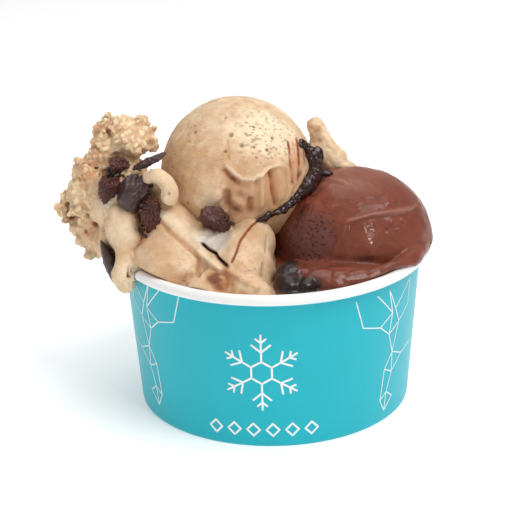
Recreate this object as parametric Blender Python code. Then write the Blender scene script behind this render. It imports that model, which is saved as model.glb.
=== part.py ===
"""A squat paper cup heaped with gelato.

A ball of hazelnut gelato stands on a lumpy filling, a torn scoop with chocolate
chunks hangs over the cup's left side, and a smooth chocolate scoop leans over the
right side. Every piece is one closed solid, and touching pieces keep a small gap.
Measures are in millimetres from the cup's axis and the surface it stands on, with
+X right, +Y back and +Z up. The finished group is moved so that the middle of its
box stands over the origin, and is in metres.
"""

import math

import bmesh
import bpy
from mathutils import Euler, Matrix, Vector, noise

MM = 0.001
GAP = 0.3

# The paper cup
WALL_BASE_RADIUS = 40.3
WALL_TOP_RADIUS = 44.0
WALL_HEIGHT = 45.8
BOARD = 0.6
FOLD_HEIGHT = 6.0
FOLD_THICKNESS = 1.5
ROLL_RADIUS = 1.6
ROLL_CENTRE = (WALL_TOP_RADIUS + 0.9, WALL_HEIGHT + 1.3)
ROLL_POINTS = 9
SEAM_DEGREES = 16.0
SEAM_STEP = 0.35
CUP_SEGMENTS = 48

# The filling, which meets the chocolate gelato on an upright plane
FILLING_TOP = 46.6
FLAVOUR_PLANE_X = 0.7
DRAPE_LOW = 43.5
HEAP_TOP = 100.0
HEAP_RADIUS = 58.0
HEAP_SEGMENTS = 36

# The hazelnut ball, fluted and drawn in below its lip at the front
BALL_CENTRE = (-9.9, 3.0, 68.3)
BALL_RADIUS = 22.3
BALL_LUMP = 0.5
LIP_DROP = 0.12
FLUTES = 9
FLUTE_DEPTH = 0.35
DRAW_IN = 0.9

# The chocolate scoop, with the uneven ring that the scooping tool leaves at its foot
DOME_CENTRE = (23.8, -3.0, 48.0)
DOME_RADII = (23.7, 22.0, 22.0)
SKIRT_RADIUS = 20.4
SKIRT_WIDTH = 4.2
SKIRT_HEIGHT = 3.0
SKIRT_LIFT = 1.6
SKIRT_STEPS = 36
SKIRT_BULGES = 9
SKIRT_BULGE = 0.5

# Blobs are (centre, radii, turn in degrees, lump height)
FILLING_BLOBS = [
    ((-25.0, -16.5, 47.5), (15.0, 14.0, 14.0), (0, 0, 25), 0.8),
    ((-8.0, -27.0, 47.0), (11.5, 13.0, 15.0), (0, 8, 0), 0.7),
    ((-34.0, 2.0, 46.0), (9.5, 20.0, 9.0), (0, 0, 6), 0.8),
    ((-18.0, 25.0, 45.0), (20.0, 15.0, 9.5), (0, 0, 20), 0.9),
    ((-2.0, 24.0, 43.5), (12.0, 17.0, 7.5), (0, 0, -8), 0.7),
]
DOME_BLOB = (DOME_CENTRE, DOME_RADII, (0, 0, 0), 0.4)
CHOCOLATE_BLOBS = [
    ((19.0, -24.0, 45.5), (22.0, 15.0, 6.5), (0, 4, 22), 0.6),
    ((40.9, -9.0, 48.2), (6.2, 13.0, 4.8), (0, 0, 14), 0.4),
    ((21.0, 23.0, 44.5), (21.0, 17.0, 8.0), (0, 0, -12), 0.8),
]
TORN_BLOBS = [
    ((-45.5, -3.0, 63.5), (12.0, 13.0, 14.0), (0, 12, 0), 1.0),
    ((-41.0, 0.0, 80.0), (8.6, 8.0, 7.2), (0, -10, 0), 0.9),
    ((-52.8, -1.0, 56.0), (6.6, 9.0, 10.5), (0, 4, 0), 0.9),
    ((-43.6, -13.5, 57.0), (6.2, 5.8, 8.6), (0, 6, 0), 0.5),
    ((-42.4, -20.6, 48.4), (4.2, 3.8, 7.2), (0, -8, 0), 0.3),
]
# Crumbs stud the torn face, on a spiral about each of these (centre, reach, count, radius)
CRUMB_CLUSTERS = [
    ((-41.0, 0.5, 80.5), 6.4, 8, 2.9),
    ((-51.5, -1.0, 62.0), 8.6, 8, 3.2),
]
GOLDEN_ANGLE = math.pi * (3 - math.sqrt(5))
# Chunks are (centre, radii, turn in degrees)
CHUNKS = {
    "chocolate_chunk_upper": ((-43.4, -9.4, 75.8), (3.2, 2.8, 2.6), (0, 14, 10)),
    "chocolate_chunk_left": ((-46.8, -11.4, 69.2), (3.2, 3.0, 4.2), (10, 14, 0)),
    "chocolate_chunk_grey": ((-39.4, -14.2, 69.0), (3.5, 3.4, 4.6), (0, -12, 20)),
    "chocolate_chunk_front": ((-34.9, -16.0, 62.7), (2.7, 3.0, 4.4), (8, 4, 0)),
    "chocolate_chunk_splinter": ((-35.0, -9.2, 76.2), (4.6, 2.2, 1.8), (0, -24, 14)),
    "chocolate_chunk_sliver": ((-46.8, -14.5, 47.0), (1.8, 2.6, 7.4), (0, -15, 0)),
    "chocolate_chunk_middle": ((-16.4, -20.6, 62.6), (4.2, 3.4, 3.4), (0, 30, 12)),
}
CHUNK_CORNER = 0.36
CHUNK_ROUGH = 0.1
# Strands are (points of the route, radius, share of it at the start and at the end)
STRANDS = {
    "fudge_ripple": (
        [
            (9.2, -2.5, 79.2),
            (12.7, -2.5, 74.3),
            (12.4, -5.5, 68.2),
            (8.8, -10.0, 65.6),
            (4.6, -13.8, 63.8),
            (-2.4, -18.5, 61.2),
        ],
        2.1, 0.95, 0.45,
    ),
    "hazelnut_curl": (
        [
            (-34.7, -13.6, 73.0),
            (-32.4, -14.8, 74.0),
            (-29.9, -15.6, 72.4),
            (-28.9, -16.2, 69.8),
            (-29.6, -16.4, 67.2),
        ],
        2.3, 0.65, 1.0,
    ),
    "hazelnut_tuft": (
        [
            (13.2, 8.0, 80.4),
            (15.0, 7.6, 76.6),
            (16.9, 7.0, 72.6),
            (19.4, 6.0, 68.0),
        ],
        3.5, 0.6, 1.15,
    ),
}
STRAND_SWELL = 0.12
STRAND_WAVES = 11
STRAND_STEPS = 3
STRAND_SIDES = 8

# Colours are linear
MATERIALS = {
    "printed_board": ((0.03, 0.50, 0.60), 0.35),
    "white_board": ((0.87, 0.87, 0.86), 0.5),
    "hazelnut_gelato": ((0.70, 0.47, 0.28), 0.5),
    "chocolate_gelato": ((0.20, 0.060, 0.035), 0.35),
    "chocolate_chunk": ((0.050, 0.018, 0.014), 0.4),
    "fudge": ((0.035, 0.010, 0.008), 0.25),
}


def remove_everything():
    for obj in list(bpy.data.objects):
        bpy.data.objects.remove(obj)


def material(name):
    found = bpy.data.materials.get(name)
    if found:
        return found
    colour, roughness = MATERIALS[name]
    made = bpy.data.materials.new(name)
    made.use_nodes = True
    shader = made.node_tree.nodes["Principled BSDF"]
    shader.inputs["Base Color"].default_value = (*colour, 1.0)
    shader.inputs["Roughness"].default_value = roughness
    shader.inputs["Metallic"].default_value = 0.0
    return made


def object_from(bm, name):
    """A scene object that holds the bmesh, which is in millimetres until the end."""
    mesh = bpy.data.meshes.new(name)
    bm.to_mesh(mesh)
    bm.free()
    obj = bpy.data.objects.new(name, mesh)
    bpy.context.scene.collection.objects.link(obj)
    return obj


def turned(name, profile, segments, bulge=None):
    """The closed profile of (radius, height) points spun round the axis.

    A point on the axis becomes one vertex. bulge(radius, height, angle) adds to a radius.
    """
    bm = bmesh.new()
    columns = []
    poles = {i: bm.verts.new((0, 0, z)) for i, (r, z) in enumerate(profile) if r == 0}
    for step in range(segments):
        angle = 2 * math.pi * step / segments
        column = []
        for i, (radius, height) in enumerate(profile):
            if i in poles:
                column.append(poles[i])
                continue
            reach = radius + (bulge(radius, height, angle) if bulge else 0)
            point = (reach * math.cos(angle), reach * math.sin(angle), height)
            column.append(bm.verts.new(point))
        columns.append(column)
    for step, column in enumerate(columns):
        after = columns[(step + 1) % segments]
        for i in range(len(profile)):
            j = (i + 1) % len(profile)
            ring = [column[i], after[i], after[j], column[j]]
            corners = list(dict.fromkeys(ring))
            if len(corners) > 2:
                bm.faces.new(corners)
    bmesh.ops.recalc_face_normals(bm, faces=bm.faces)
    return object_from(bm, name)


def wall_radius(height):
    """The wall's outer radius at a height."""
    slope = (WALL_TOP_RADIUS - WALL_BASE_RADIUS) / WALL_HEIGHT
    return WALL_BASE_RADIUS + slope * height


def roll_arc(radius, start, end, points):
    """Points round the rolled rim, at a radius from its centre, between two angles."""
    made = []
    for k in range(points):
        angle = math.radians(start + (end - start) * k / (points - 1))
        r, z = ROLL_CENTRE
        made.append((r + radius * math.cos(angle), z + radius * math.sin(angle)))
    return made


def seam(radius, height, angle):
    """The step of the glued overlap, on the outside of the wall at the back."""
    turn = abs(math.degrees(angle) - 90)
    outside = radius > wall_radius(height) - BOARD / 2
    if outside and height < WALL_HEIGHT and turn < SEAM_DEGREES / 2:
        return SEAM_STEP
    return 0.0


def make_cup_wall():
    fold = [
        (wall_radius(FOLD_HEIGHT) - BOARD, FOLD_HEIGHT),
        (wall_radius(FOLD_HEIGHT) - FOLD_THICKNESS, FOLD_HEIGHT),
        (WALL_BASE_RADIUS - FOLD_THICKNESS, 0.0),
        (WALL_BASE_RADIUS, 0.0),
    ]
    outside = [
        (wall_radius(WALL_HEIGHT * share), WALL_HEIGHT * share)
        for share in (0.5, 0.97)
    ]
    roll = roll_arc(ROLL_RADIUS, -115, 180, ROLL_POINTS)
    return turned("cup_wall", fold + outside + roll, CUP_SEGMENTS, seam)


def make_cup_base():
    """The base disc, set into the wall just above its folded foot."""
    low = FOLD_HEIGHT + GAP
    radius = wall_radius(low) - BOARD - GAP
    profile = [(0, low + BOARD), (0, low), (radius, low), (radius, low + BOARD)]
    return turned("cup_base", profile, CUP_SEGMENTS)


def lumps(direction, size, offset):
    """A smooth bumpy function of direction, from about -1 to 1."""
    point = Vector(direction) * size + Vector(offset)
    return noise.noise(point) + 0.5 * noise.noise(point * 2.1)


def blob(name, centre, radii, turn, lump, detail=3, grow=0.0):
    """An ellipsoid with a lumpy surface, made bigger by grow when it is a cutter."""
    bm = bmesh.new()
    bmesh.ops.create_icosphere(bm, subdivisions=detail, radius=1.0)
    rotation = Euler([math.radians(a) for a in turn]).to_matrix()
    for vertex in bm.verts:
        direction = vertex.co.normalized()
        swell = lump * lumps(direction, 2.0, centre) + grow
        point = Vector(d * r for d, r in zip(direction, radii)) + direction * swell
        vertex.co = rotation @ point + Vector(centre)
    return object_from(bm, name)


def share_between(value, low, high):
    """0 up to low, 1 from high, and even between them."""
    return max(0.0, min(1.0, (value - low) / (high - low)))


def ball(name="cut_ball", grow=0.0):
    """The hazelnut ball: round above, fluted and drawn in below its lip at the front."""
    bm = bmesh.new()
    bmesh.ops.create_icosphere(bm, subdivisions=4, radius=1.0)
    for vertex in bm.verts:
        x, y, z = vertex.co.normalized()
        below = share_between(-z, LIP_DROP, 2 * LIP_DROP) * share_between(-y, 0.0, 0.5)
        flutes = FLUTE_DEPTH * math.sin(FLUTES * math.atan2(x, -y))
        reach = BALL_RADIUS + grow + BALL_LUMP * lumps((x, y, z), 1.6, (3, 1, 7))
        reach += below * (flutes - DRAW_IN)
        vertex.co = Vector((x, y, z)) * reach + Vector(BALL_CENTRE)
    return object_from(bm, name)


def skirt(name, grow=0.0):
    """The uneven ring round the foot of the chocolate scoop."""
    bm = bmesh.new()
    bmesh.ops.create_circle(bm, segments=8, radius=1.0)
    bmesh.ops.rotate(bm, verts=bm.verts, matrix=Matrix.Rotation(math.pi / 2, 3, "X"))
    bmesh.ops.translate(bm, verts=bm.verts, vec=(SKIRT_RADIUS, 0, 0))
    bmesh.ops.spin(
        bm, geom=bm.edges, cent=(0, 0, 0), axis=(0, 0, 1),
        angle=2 * math.pi, steps=SKIRT_STEPS, use_merge=True,
    )
    for vertex in bm.verts:
        x, y, z = vertex.co
        angle = math.atan2(y, x)
        away = math.hypot(x, y) - SKIRT_RADIUS
        waves = math.sin(SKIRT_BULGES * angle) + math.sin(4 * angle + 1)
        reach = SKIRT_RADIUS + SKIRT_BULGE * waves + away * (SKIRT_WIDTH + grow)
        lift = SKIRT_LIFT + SKIRT_BULGE * math.sin(2 * angle + 2)
        height = lift + z * (SKIRT_HEIGHT + grow)
        vertex.co = Vector((reach * math.cos(angle), reach * math.sin(angle), height))
        vertex.co += Vector(DOME_CENTRE)
    bmesh.ops.remove_doubles(bm, verts=bm.verts, dist=0.001)
    bmesh.ops.recalc_face_normals(bm, faces=bm.faces)
    return object_from(bm, name)


def chunk(name, centre, radii, turn, grow=0.0):
    """A broken chocolate chunk with blunt corners and flat sides."""
    bm = bmesh.new()
    bmesh.ops.create_icosphere(bm, subdivisions=2, radius=1.0)
    rotation = Euler([math.radians(a) for a in turn]).to_matrix()
    for vertex in bm.verts:
        direction = vertex.co.normalized()
        corner = 1 / max(abs(c) for c in direction)
        reach = 1 + CHUNK_CORNER * (corner - 1.2) + CHUNK_ROUGH * lumps(direction, 3.0, centre)
        point = Vector(d * (r * reach + grow) for d, r in zip(direction, radii))
        vertex.co = rotation @ point + Vector(centre)
    return object_from(bm, name)


def smooth_route(points, steps):
    """Points of a smooth curve that passes through the given ones."""
    route = [Vector(p) for p in points]
    ends = [route[0] * 2 - route[1]] + route + [route[-1] * 2 - route[-2]]
    made = []
    for a, b, c, d in zip(ends, ends[1:], ends[2:], ends[3:]):
        for k in range(steps):
            t = k / steps
            made.append(
                0.5 * (2 * b + (c - a) * t + (2 * a - 5 * b + 4 * c - d) * t**2
                       + (3 * b - a - 3 * c + d) * t**3)
            )
    return made + [route[-1]]


def strand(name, recipe, grow=0.0):
    """A soft strand of uneven width along a smooth route, with rounded ends."""
    points, radius, start, end = recipe
    route = smooth_route(points, STRAND_STEPS)
    last = len(route) - 1
    bm = bmesh.new()
    rings = []
    for i, point in enumerate(route):
        along = (route[min(i + 1, last)] - route[max(i - 1, 0)]).normalized()
        side = along.cross(Vector((0, -1, 0))).normalized()
        out = side.cross(along)
        share = i / last
        near_end = 0.5 + 0.5 * share_between(min(share, 1 - share), 0.0, 0.125)
        swell = 1 + STRAND_SWELL * math.sin(STRAND_WAVES * share)
        reach = radius * (start + (end - start) * share) * near_end * swell + grow
        ring = []
        for k in range(STRAND_SIDES):
            angle = 2 * math.pi * k / STRAND_SIDES
            offset = side * math.cos(angle) + out * math.sin(angle)
            ring.append(bm.verts.new(point + offset * reach))
        rings.append(ring)
    for first, second in zip(rings, rings[1:]):
        for k in range(STRAND_SIDES):
            n = (k + 1) % STRAND_SIDES
            bm.faces.new((first[k], first[n], second[n], second[k]))
    for ring, beyond in ((rings[0], route[0] - route[1]), (rings[-1], route[-1] - route[-2])):
        middle = sum((v.co for v in ring), Vector()) / STRAND_SIDES
        reach = (ring[0].co - middle).length
        tip = bm.verts.new(middle + beyond.normalized() * reach * 0.6)
        for k in range(STRAND_SIDES):
            bm.faces.new((ring[k], ring[(k + 1) % STRAND_SIDES], tip))
    bmesh.ops.recalc_face_normals(bm, faces=bm.faces)
    return object_from(bm, name)


def crumbs(grow=0.0):
    """Small knobs on a golden spiral over the upper and outer side of each cluster."""
    made = []
    for centre, reach, count, radius in CRUMB_CLUSTERS:
        for k in range(count):
            height = 0.95 - 1.5 * k / count
            angle = GOLDEN_ANGLE * k + centre[2]
            flat = math.sqrt(1 - height**2)
            direction = Vector((flat * math.cos(angle), flat * math.sin(angle), height))
            size = radius * (1 + 0.25 * math.sin(3.7 * k))
            place = Vector(centre) + direction * reach
            recipe = (place, (size, size, size * 0.9), (0, 0, 40 * k), 0.4)
            made.append(blob(f"crumb_{k}", *recipe, 2, grow))
    return made


def box(name, low, high):
    bm = bmesh.new()
    bmesh.ops.create_cube(bm, size=1.0)
    size = Vector(high) - Vector(low)
    middle = (Vector(high) + Vector(low)) / 2
    bmesh.ops.scale(bm, verts=bm.verts, vec=size)
    bmesh.ops.translate(bm, verts=bm.verts, vec=middle)
    return object_from(bm, name)


def combine(target, operation, others):
    """Joins to, cuts from or keeps within the target each of the others, and uses them up."""
    for other in others:
        modifier = target.modifiers.new(operation.lower(), "BOOLEAN")
        modifier.operation = operation
        modifier.object = other
        modifier.solver = "EXACT"
        graph = bpy.context.evaluated_depsgraph_get()
        mesh = bpy.data.meshes.new_from_object(target.evaluated_get(graph))
        target.modifiers.clear()
        target.data = mesh
        bpy.data.objects.remove(other)
    return target


def keep_largest(obj):
    """Removes the small loose bits that a cut can leave."""
    bm = bmesh.new()
    bm.from_mesh(obj.data)
    left, islands = set(bm.verts), []
    while left:
        island, front = set(), [left.pop()]
        while front:
            vertex = front.pop()
            island.add(vertex)
            near = {e.other_vert(vertex) for e in vertex.link_edges} & left
            left -= near
            front.extend(near)
        islands.append(island)
    largest = max(islands, key=len)
    strays = [v for island in islands if island is not largest for v in island]
    bmesh.ops.delete(bm, geom=strays, context="VERTS")
    bm.to_mesh(obj.data)
    bm.free()
    return obj


def inside_cup(name):
    """The space that heaped gelato may take: within the wall, above the rim and past it."""
    low = FOLD_HEIGHT + BOARD + 2 * GAP
    gap_roll = roll_arc(ROLL_RADIUS + GAP, 178, -75, 12)
    neck = (wall_radius(DRAPE_LOW) + GAP + SEAM_STEP, DRAPE_LOW)
    profile = [(0, HEAP_TOP), (0, low), (wall_radius(low) - BOARD - GAP, low)]
    profile += [*gap_roll, neck, (HEAP_RADIUS, DRAPE_LOW), (HEAP_RADIUS, HEAP_TOP)]
    return turned(name, profile, HEAP_SEGMENTS)


def cup_outline(name):
    """The whole outside of the cup, with the gap, which the hanging scoop keeps clear of."""
    foot = (wall_radius(-2) + GAP + SEAM_STEP, -2)
    neck = (wall_radius(WALL_HEIGHT) + GAP, WALL_HEIGHT - 1)
    top = ROLL_CENTRE[1] + ROLL_RADIUS + GAP
    roll = roll_arc(ROLL_RADIUS + GAP, -80, 90, 8)
    profile = [(0, top), (0, -2), foot, neck, *roll]
    return turned(name, profile, HEAP_SEGMENTS)


def slab(name, top):
    """The level filling, a little wider than the inside of the cup, which trims it."""
    profile = [(0, top), (0, 0), (WALL_TOP_RADIUS, 0), (WALL_TOP_RADIUS, top)]
    return turned(name, profile, HEAP_SEGMENTS)


def half_space(name, side, grow=0.0):
    """A large block on one side (-1 or 1) of the plane between the two flavours."""
    near = FLAVOUR_PLANE_X + side * (GAP / 2 - grow)
    far = side * 2 * HEAP_RADIUS
    low, high = min(near, far), max(near, far)
    reach = 2 * HEAP_RADIUS
    return box(name, (low, -reach, -5), (high, reach, HEAP_TOP + 5))


def blobs(recipes, grow=0.0):
    return [blob(f"cut_{i}", *recipe, 3, grow) for i, recipe in enumerate(recipes)]


def dome(grow=0.0):
    return blob("cut_dome", *DOME_BLOB, 3, grow)


def cutters(*names):
    """The named chunks and strands, grown by the gap."""
    made = []
    for name in names:
        if name in CHUNKS:
            made.append(chunk(f"cut_{name}", *CHUNKS[name], grow=GAP))
        else:
            made.append(strand(f"cut_{name}", STRANDS[name], GAP))
    return made


def make_filling():
    filling = slab("hazelnut_filling", FILLING_TOP)
    combine(filling, "UNION", blobs(FILLING_BLOBS))
    combine(filling, "INTERSECT", [inside_cup("keep"), half_space("keep_side", -1)])
    combine(filling, "DIFFERENCE", cutters("chocolate_chunk_middle"))
    return keep_largest(filling)


def make_ball():
    made = ball("hazelnut_ball")
    below = slab("cut_below", FILLING_TOP + GAP)
    combine(made, "DIFFERENCE", [below, *blobs(FILLING_BLOBS, GAP)])
    combine(made, "DIFFERENCE", cutters("fudge_ripple", "chocolate_chunk_middle"))
    return keep_largest(made)


def make_chocolate_scoop():
    scoop = slab("chocolate_scoop", FILLING_TOP)
    combine(scoop, "UNION", [dome(), *blobs(CHOCOLATE_BLOBS), skirt("skirt")])
    combine(scoop, "INTERSECT", [inside_cup("keep"), half_space("keep_side", 1)])
    combine(scoop, "DIFFERENCE", [ball(grow=GAP), *cutters("fudge_ripple")])
    return keep_largest(scoop)


def make_tuft():
    tuft = strand("hazelnut_tuft", STRANDS["hazelnut_tuft"])
    combine(tuft, "DIFFERENCE", [ball(grow=GAP), dome(GAP), *cutters("fudge_ripple")])
    return keep_largest(tuft)


def make_curl():
    curl = strand("hazelnut_curl", STRANDS["hazelnut_curl"])
    near = ("chocolate_chunk_grey", "chocolate_chunk_front", "chocolate_chunk_splinter")
    combine(curl, "DIFFERENCE", [ball(grow=GAP), *blobs(FILLING_BLOBS, GAP)])
    combine(curl, "DIFFERENCE", cutters(*near))
    return keep_largest(curl)


def make_torn_scoop():
    """The torn scoop that hangs over the cup's side, cut round its chunks."""
    first, *more = blobs(TORN_BLOBS)
    first.name = "hazelnut_torn_scoop"
    combine(first, "UNION", more + crumbs())
    near = [name for name in CHUNKS if name != "chocolate_chunk_middle"]
    combine(first, "DIFFERENCE", [cup_outline("cut_cup"), ball(grow=GAP)])
    combine(first, "DIFFERENCE", blobs(FILLING_BLOBS, GAP))
    combine(first, "DIFFERENCE", cutters("hazelnut_curl", *near))
    return keep_largest(first)


def finish(obj, slot, offset):
    """Gives the piece its material and shading, and moves it to its place in metres."""
    obj.data.transform(Matrix.Scale(MM, 4))
    obj.data.materials.clear()
    obj.data.materials.append(material(slot))
    obj.data.shade_smooth()
    obj.data.set_sharp_from_angle(angle=math.radians(50))
    obj.location = offset


def main():
    remove_everything()
    pieces = [
        (make_cup_wall(), "printed_board"),
        (make_cup_base(), "white_board"),
        (make_filling(), "hazelnut_gelato"),
        (make_ball(), "hazelnut_gelato"),
        (make_torn_scoop(), "hazelnut_gelato"),
        (make_curl(), "hazelnut_gelato"),
        (make_tuft(), "hazelnut_gelato"),
        (make_chocolate_scoop(), "chocolate_gelato"),
        (strand("fudge_ripple", STRANDS["fudge_ripple"]), "fudge"),
    ]
    for name, recipe in CHUNKS.items():
        pieces.append((chunk(name, *recipe), "chocolate_chunk"))
    points = [v.co for obj, _ in pieces for v in obj.data.vertices]
    middle = [(min(p[i] for p in points) + max(p[i] for p in points)) / 2 for i in (0, 1)]
    offset = Vector((-middle[0], -middle[1], 0)) * MM
    for obj, slot in pieces:
        finish(obj, slot, offset)
    print("cup axis at", [round(c, 5) for c in offset])


main()
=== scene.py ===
"""Gives a heaped gelato cup its finished surfaces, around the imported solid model.

Measures in this file are in millimetres from the cup's axis and the surface it stands on,
with +X right, +Y back and +Z up, unless a name or a unit says otherwise. Finished meshes
are moved to the frame's own origin and are in metres.
"""

import math
from itertools import product

import bmesh
import bpy
import numpy as np
from bpy.props import FloatProperty, FloatVectorProperty, IntProperty, PointerProperty
from mathutils import Euler, Matrix, Quaternion, Vector


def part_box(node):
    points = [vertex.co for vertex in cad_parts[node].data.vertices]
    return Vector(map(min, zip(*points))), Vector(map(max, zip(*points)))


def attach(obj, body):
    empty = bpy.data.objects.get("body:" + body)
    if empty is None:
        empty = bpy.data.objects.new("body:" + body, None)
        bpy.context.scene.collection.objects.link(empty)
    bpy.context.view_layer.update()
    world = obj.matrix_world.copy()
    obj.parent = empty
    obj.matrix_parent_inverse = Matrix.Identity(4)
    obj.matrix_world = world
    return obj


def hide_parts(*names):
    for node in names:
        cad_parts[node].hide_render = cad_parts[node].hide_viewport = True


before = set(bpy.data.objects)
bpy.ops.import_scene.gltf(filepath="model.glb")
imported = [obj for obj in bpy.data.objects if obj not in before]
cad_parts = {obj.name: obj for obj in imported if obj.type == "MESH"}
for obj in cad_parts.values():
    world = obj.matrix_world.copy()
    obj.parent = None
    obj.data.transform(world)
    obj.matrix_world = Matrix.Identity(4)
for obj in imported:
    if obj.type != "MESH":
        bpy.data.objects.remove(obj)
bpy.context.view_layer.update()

bl_info = {
    "name": "Gelato Cup",
    "version": (1, 0, 0),
    "blender": (4, 5, 0),
    "location": "3D View > Sidebar > Gelato",
    "description": "Builds a paper cup heaped with hazelnut and chocolate gelato",
    "category": "Add Mesh",
}

MM = 0.001

# The cup stands on the middle of its base disc, which the frame gives
BASE_LOW, BASE_HIGH = (Vector(corner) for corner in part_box("cup_base"))
CUP_AXIS = Vector(((BASE_LOW.x + BASE_HIGH.x) / 2, (BASE_LOW.y + BASE_HIGH.y) / 2, 0))
WALL_LOW, WALL_HIGH = (Vector(corner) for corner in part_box("cup_wall"))
RIM_RADIUS = (WALL_HIGH.y - WALL_LOW.y) / 2 / MM
RIM_TOP = WALL_HIGH.z / MM
BASE_HEIGHT = BASE_LOW.z / MM
BASE_RADIUS = (BASE_HIGH.x - BASE_LOW.x) / 2 / MM

# The board wall, from its foot to the curl of its rim
ROLL_RADIUS = 1.6
ROLL_CENTRE = (RIM_RADIUS - ROLL_RADIUS, RIM_TOP - ROLL_RADIUS)
WALL_HEIGHT = ROLL_CENTRE[1] - 1.3
WALL_TOP_RADIUS = ROLL_CENTRE[0] - 0.9
WALL_BASE_RADIUS = WALL_TOP_RADIUS - 3.7
BOARD = 0.6
FOLD_HEIGHT = BASE_HEIGHT - 0.3
FOLD_THICKNESS = 1.5
SEAM_DEGREES = 12.0
SEAM_STEP = 0.3

BALL_CENTRE = (-9.9, 3.0, 68.3)
BALL_RADIUS = 22.3
DOME_CENTRE = (23.8, -3.0, 48.0)
DOME_RADII = (23.7, 22.0, 22.0)


def linear(code):
    """The linear colour of an sRGB hex code such as "#a0b1c2"."""
    made = []
    for i in (1, 3, 5):
        share = int(code[i:i + 2], 16) / 255
        made.append(share / 12.92 if share <= 0.04045 else ((share + 0.055) / 1.055) ** 2.4)
    return tuple(made)


# ---------------------------------------------------------------- settings


def colour_setting(name, description, code):
    return FloatVectorProperty(
        name=name, description=description, subtype="COLOR", size=3,
        min=0.0, max=1.0, default=linear(code),
    )


def length_setting(name, description, millimetres):
    return FloatProperty(
        name=name, description=description, subtype="DISTANCE", unit="LENGTH",
        min=0.0, precision=5, default=millimetres * MM,
    )


class GelatoCupSettings(bpy.types.PropertyGroup):
    """Sizes and colours of the paper cup."""

    steps: IntProperty(name="Steps round", description="Faces round the cup", default=192, min=24)
    line_width: length_setting("Line width", "Width of the thin printed lines", 0.34)
    bold_width: length_setting("Bold width", "Width of the emblem's printed lines", 0.62)
    printed: colour_setting("Print", "Turquoise of the printed wall", "#10b3c2")
    board: colour_setting("Board", "White of the bare board", "#f2f1ef")
    ink: colour_setting("Line colour", "White left free by the print", "#f4fbfb")


class GelatoFoodSettings(bpy.types.PropertyGroup):
    """Sizes and colours of the gelato and what is in it."""

    voxel: length_setting("Mesh size", "Edge length of the fused gelato meshes", 0.4)
    crumb_voxel: length_setting("Crumb mesh size", "Edge length of the torn scoop's mesh", 0.33)
    pit_depth: length_setting("Pit depth", "Depth of the air pits in the ball", 0.42)
    hazelnut: colour_setting("Hazelnut", "Body colour of the hazelnut gelato", "#d3ab84")
    # Pale is also painted on as highlight: on the ball's top, lip edge and cheek, and on the filling's
    # raised fold.
    pale: colour_setting("Pale hazelnut", "Where the gelato is aerated", "#f2dcbc")
    cream: colour_setting("Cream", "Melted cream smears", "#d3c8bb")
    crumb: colour_setting("Crumb", "Torn and crumbly gelato", "#f2ddb8")
    # Peach is also painted on as shade, on the torn scoop's upper left side.
    peach: colour_setting("Peach", "Where caramel tints the gelato", "#dd9f72")
    # Caramel is also painted on as shade: in the filling's crease and low along its left rim, in the
    # ball's furrows and on its underside, between the torn scoop's crumbs, and in the curl's pit.
    caramel: colour_setting("Caramel", "Caramel stains", "#b97a4c")
    # Burnt caramel also stands partly for painted shade, in two dark streaks along the ball's furrows.
    burnt: colour_setting("Burnt caramel", "Dark caramel streaks", "#8d4524")
    # This colour is painted highlight: the chocolate scoop's lighter top, fold and ridge are painted
    # with it.
    chocolate_sheen: colour_setting("Milky chocolate", "Where the chocolate gelato is aerated", "#b07a68")
    # Cocoa is also painted on as shade: in the filling's crack, partly round its middle chunk and in a
    # furrow of the ball, and in the torn scoop's holes and hollow.
    cocoa: colour_setting("Cocoa stain", "Where chocolate has run into the gelato", "#7d4a36")
    chocolate: colour_setting("Chocolate gelato", "Body colour of the chocolate gelato", "#7c3e2b")
    dull: colour_setting("Dull chocolate", "Where the scoop is frosted", "#6f4a44")
    dark: colour_setting("Dark chocolate", "Broken chunks", "#2f1f1f")
    olive: colour_setting("Pit shadow", "Inside of the air pits", "#8a6a3c")
    crumbly: colour_setting("Crumbly chocolate", "Broken brownie-like chunks", "#3d1d17")
    # Fudge is also painted on as shade: in the filling's crack and nicks and where the ball meets it,
    # and in the chocolate scoop's pits, groove and near end.
    fudge: colour_setting("Fudge", "Ripple sauce", "#230f0d")


class GelatoStageSettings(bpy.types.PropertyGroup):
    """The camera and the light."""

    distance: length_setting("Camera distance", "From the camera to what it looks at", 528.0)
    elevation: FloatProperty(
        name="Elevation", description="How far the camera looks down", subtype="ANGLE",
        unit="ROTATION", default=math.radians(21.35),
    )
    roll: FloatProperty(
        name="Roll", description="Turn of the camera about its view", subtype="ANGLE",
        unit="ROTATION", default=math.radians(-1.3),
    )
    lens: FloatProperty(
        name="Lens", description="Focal length on a 36 mm sensor", subtype="DISTANCE_CAMERA",
        default=124.7, min=10.0,
    )
    floor: colour_setting("Floor", "Colour of the floor", "#f6f6f6")


# ---------------------------------------------------------------- patterns in space


def lattice(cells, seed):
    """A repeatable random number from 0 to 1 for each row of whole numbers."""
    x, y, z = (cells[:, i].astype(np.uint64) for i in range(3))
    mixed = x * np.uint64(73856093) ^ y * np.uint64(19349663) ^ z * np.uint64(83492791)
    mixed ^= np.uint64(seed * 2654435761 % 2**40)
    for shift, factor in ((15, 2246822519), (13, 3266489917)):
        mixed = (mixed ^ (mixed >> np.uint64(shift))) * np.uint64(factor)
        mixed &= np.uint64(0xFFFFFFFF)
    return (mixed ^ (mixed >> np.uint64(16))).astype(float) / 2**32


def waves(points, size, seed=0, octaves=3):
    """Smooth bumps of about -1 to 1, the largest of which are about size across."""
    total, share = np.zeros(len(points)), 1.0
    for octave in range(octaves):
        placed = points / size * 2**octave + 17.3 * octave
        whole = np.floor(placed)
        part = placed - whole
        ease = part * part * (3 - 2 * part)
        value = np.zeros(len(points))
        for corner in product((0, 1), repeat=3):
            weight = np.prod(np.where(corner, ease, 1 - ease), axis=1)
            value += weight * lattice(whole.astype(np.int64) + corner, seed + octave)
        total += share * (2 * value - 1)
        share *= 0.5
    return total


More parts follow.
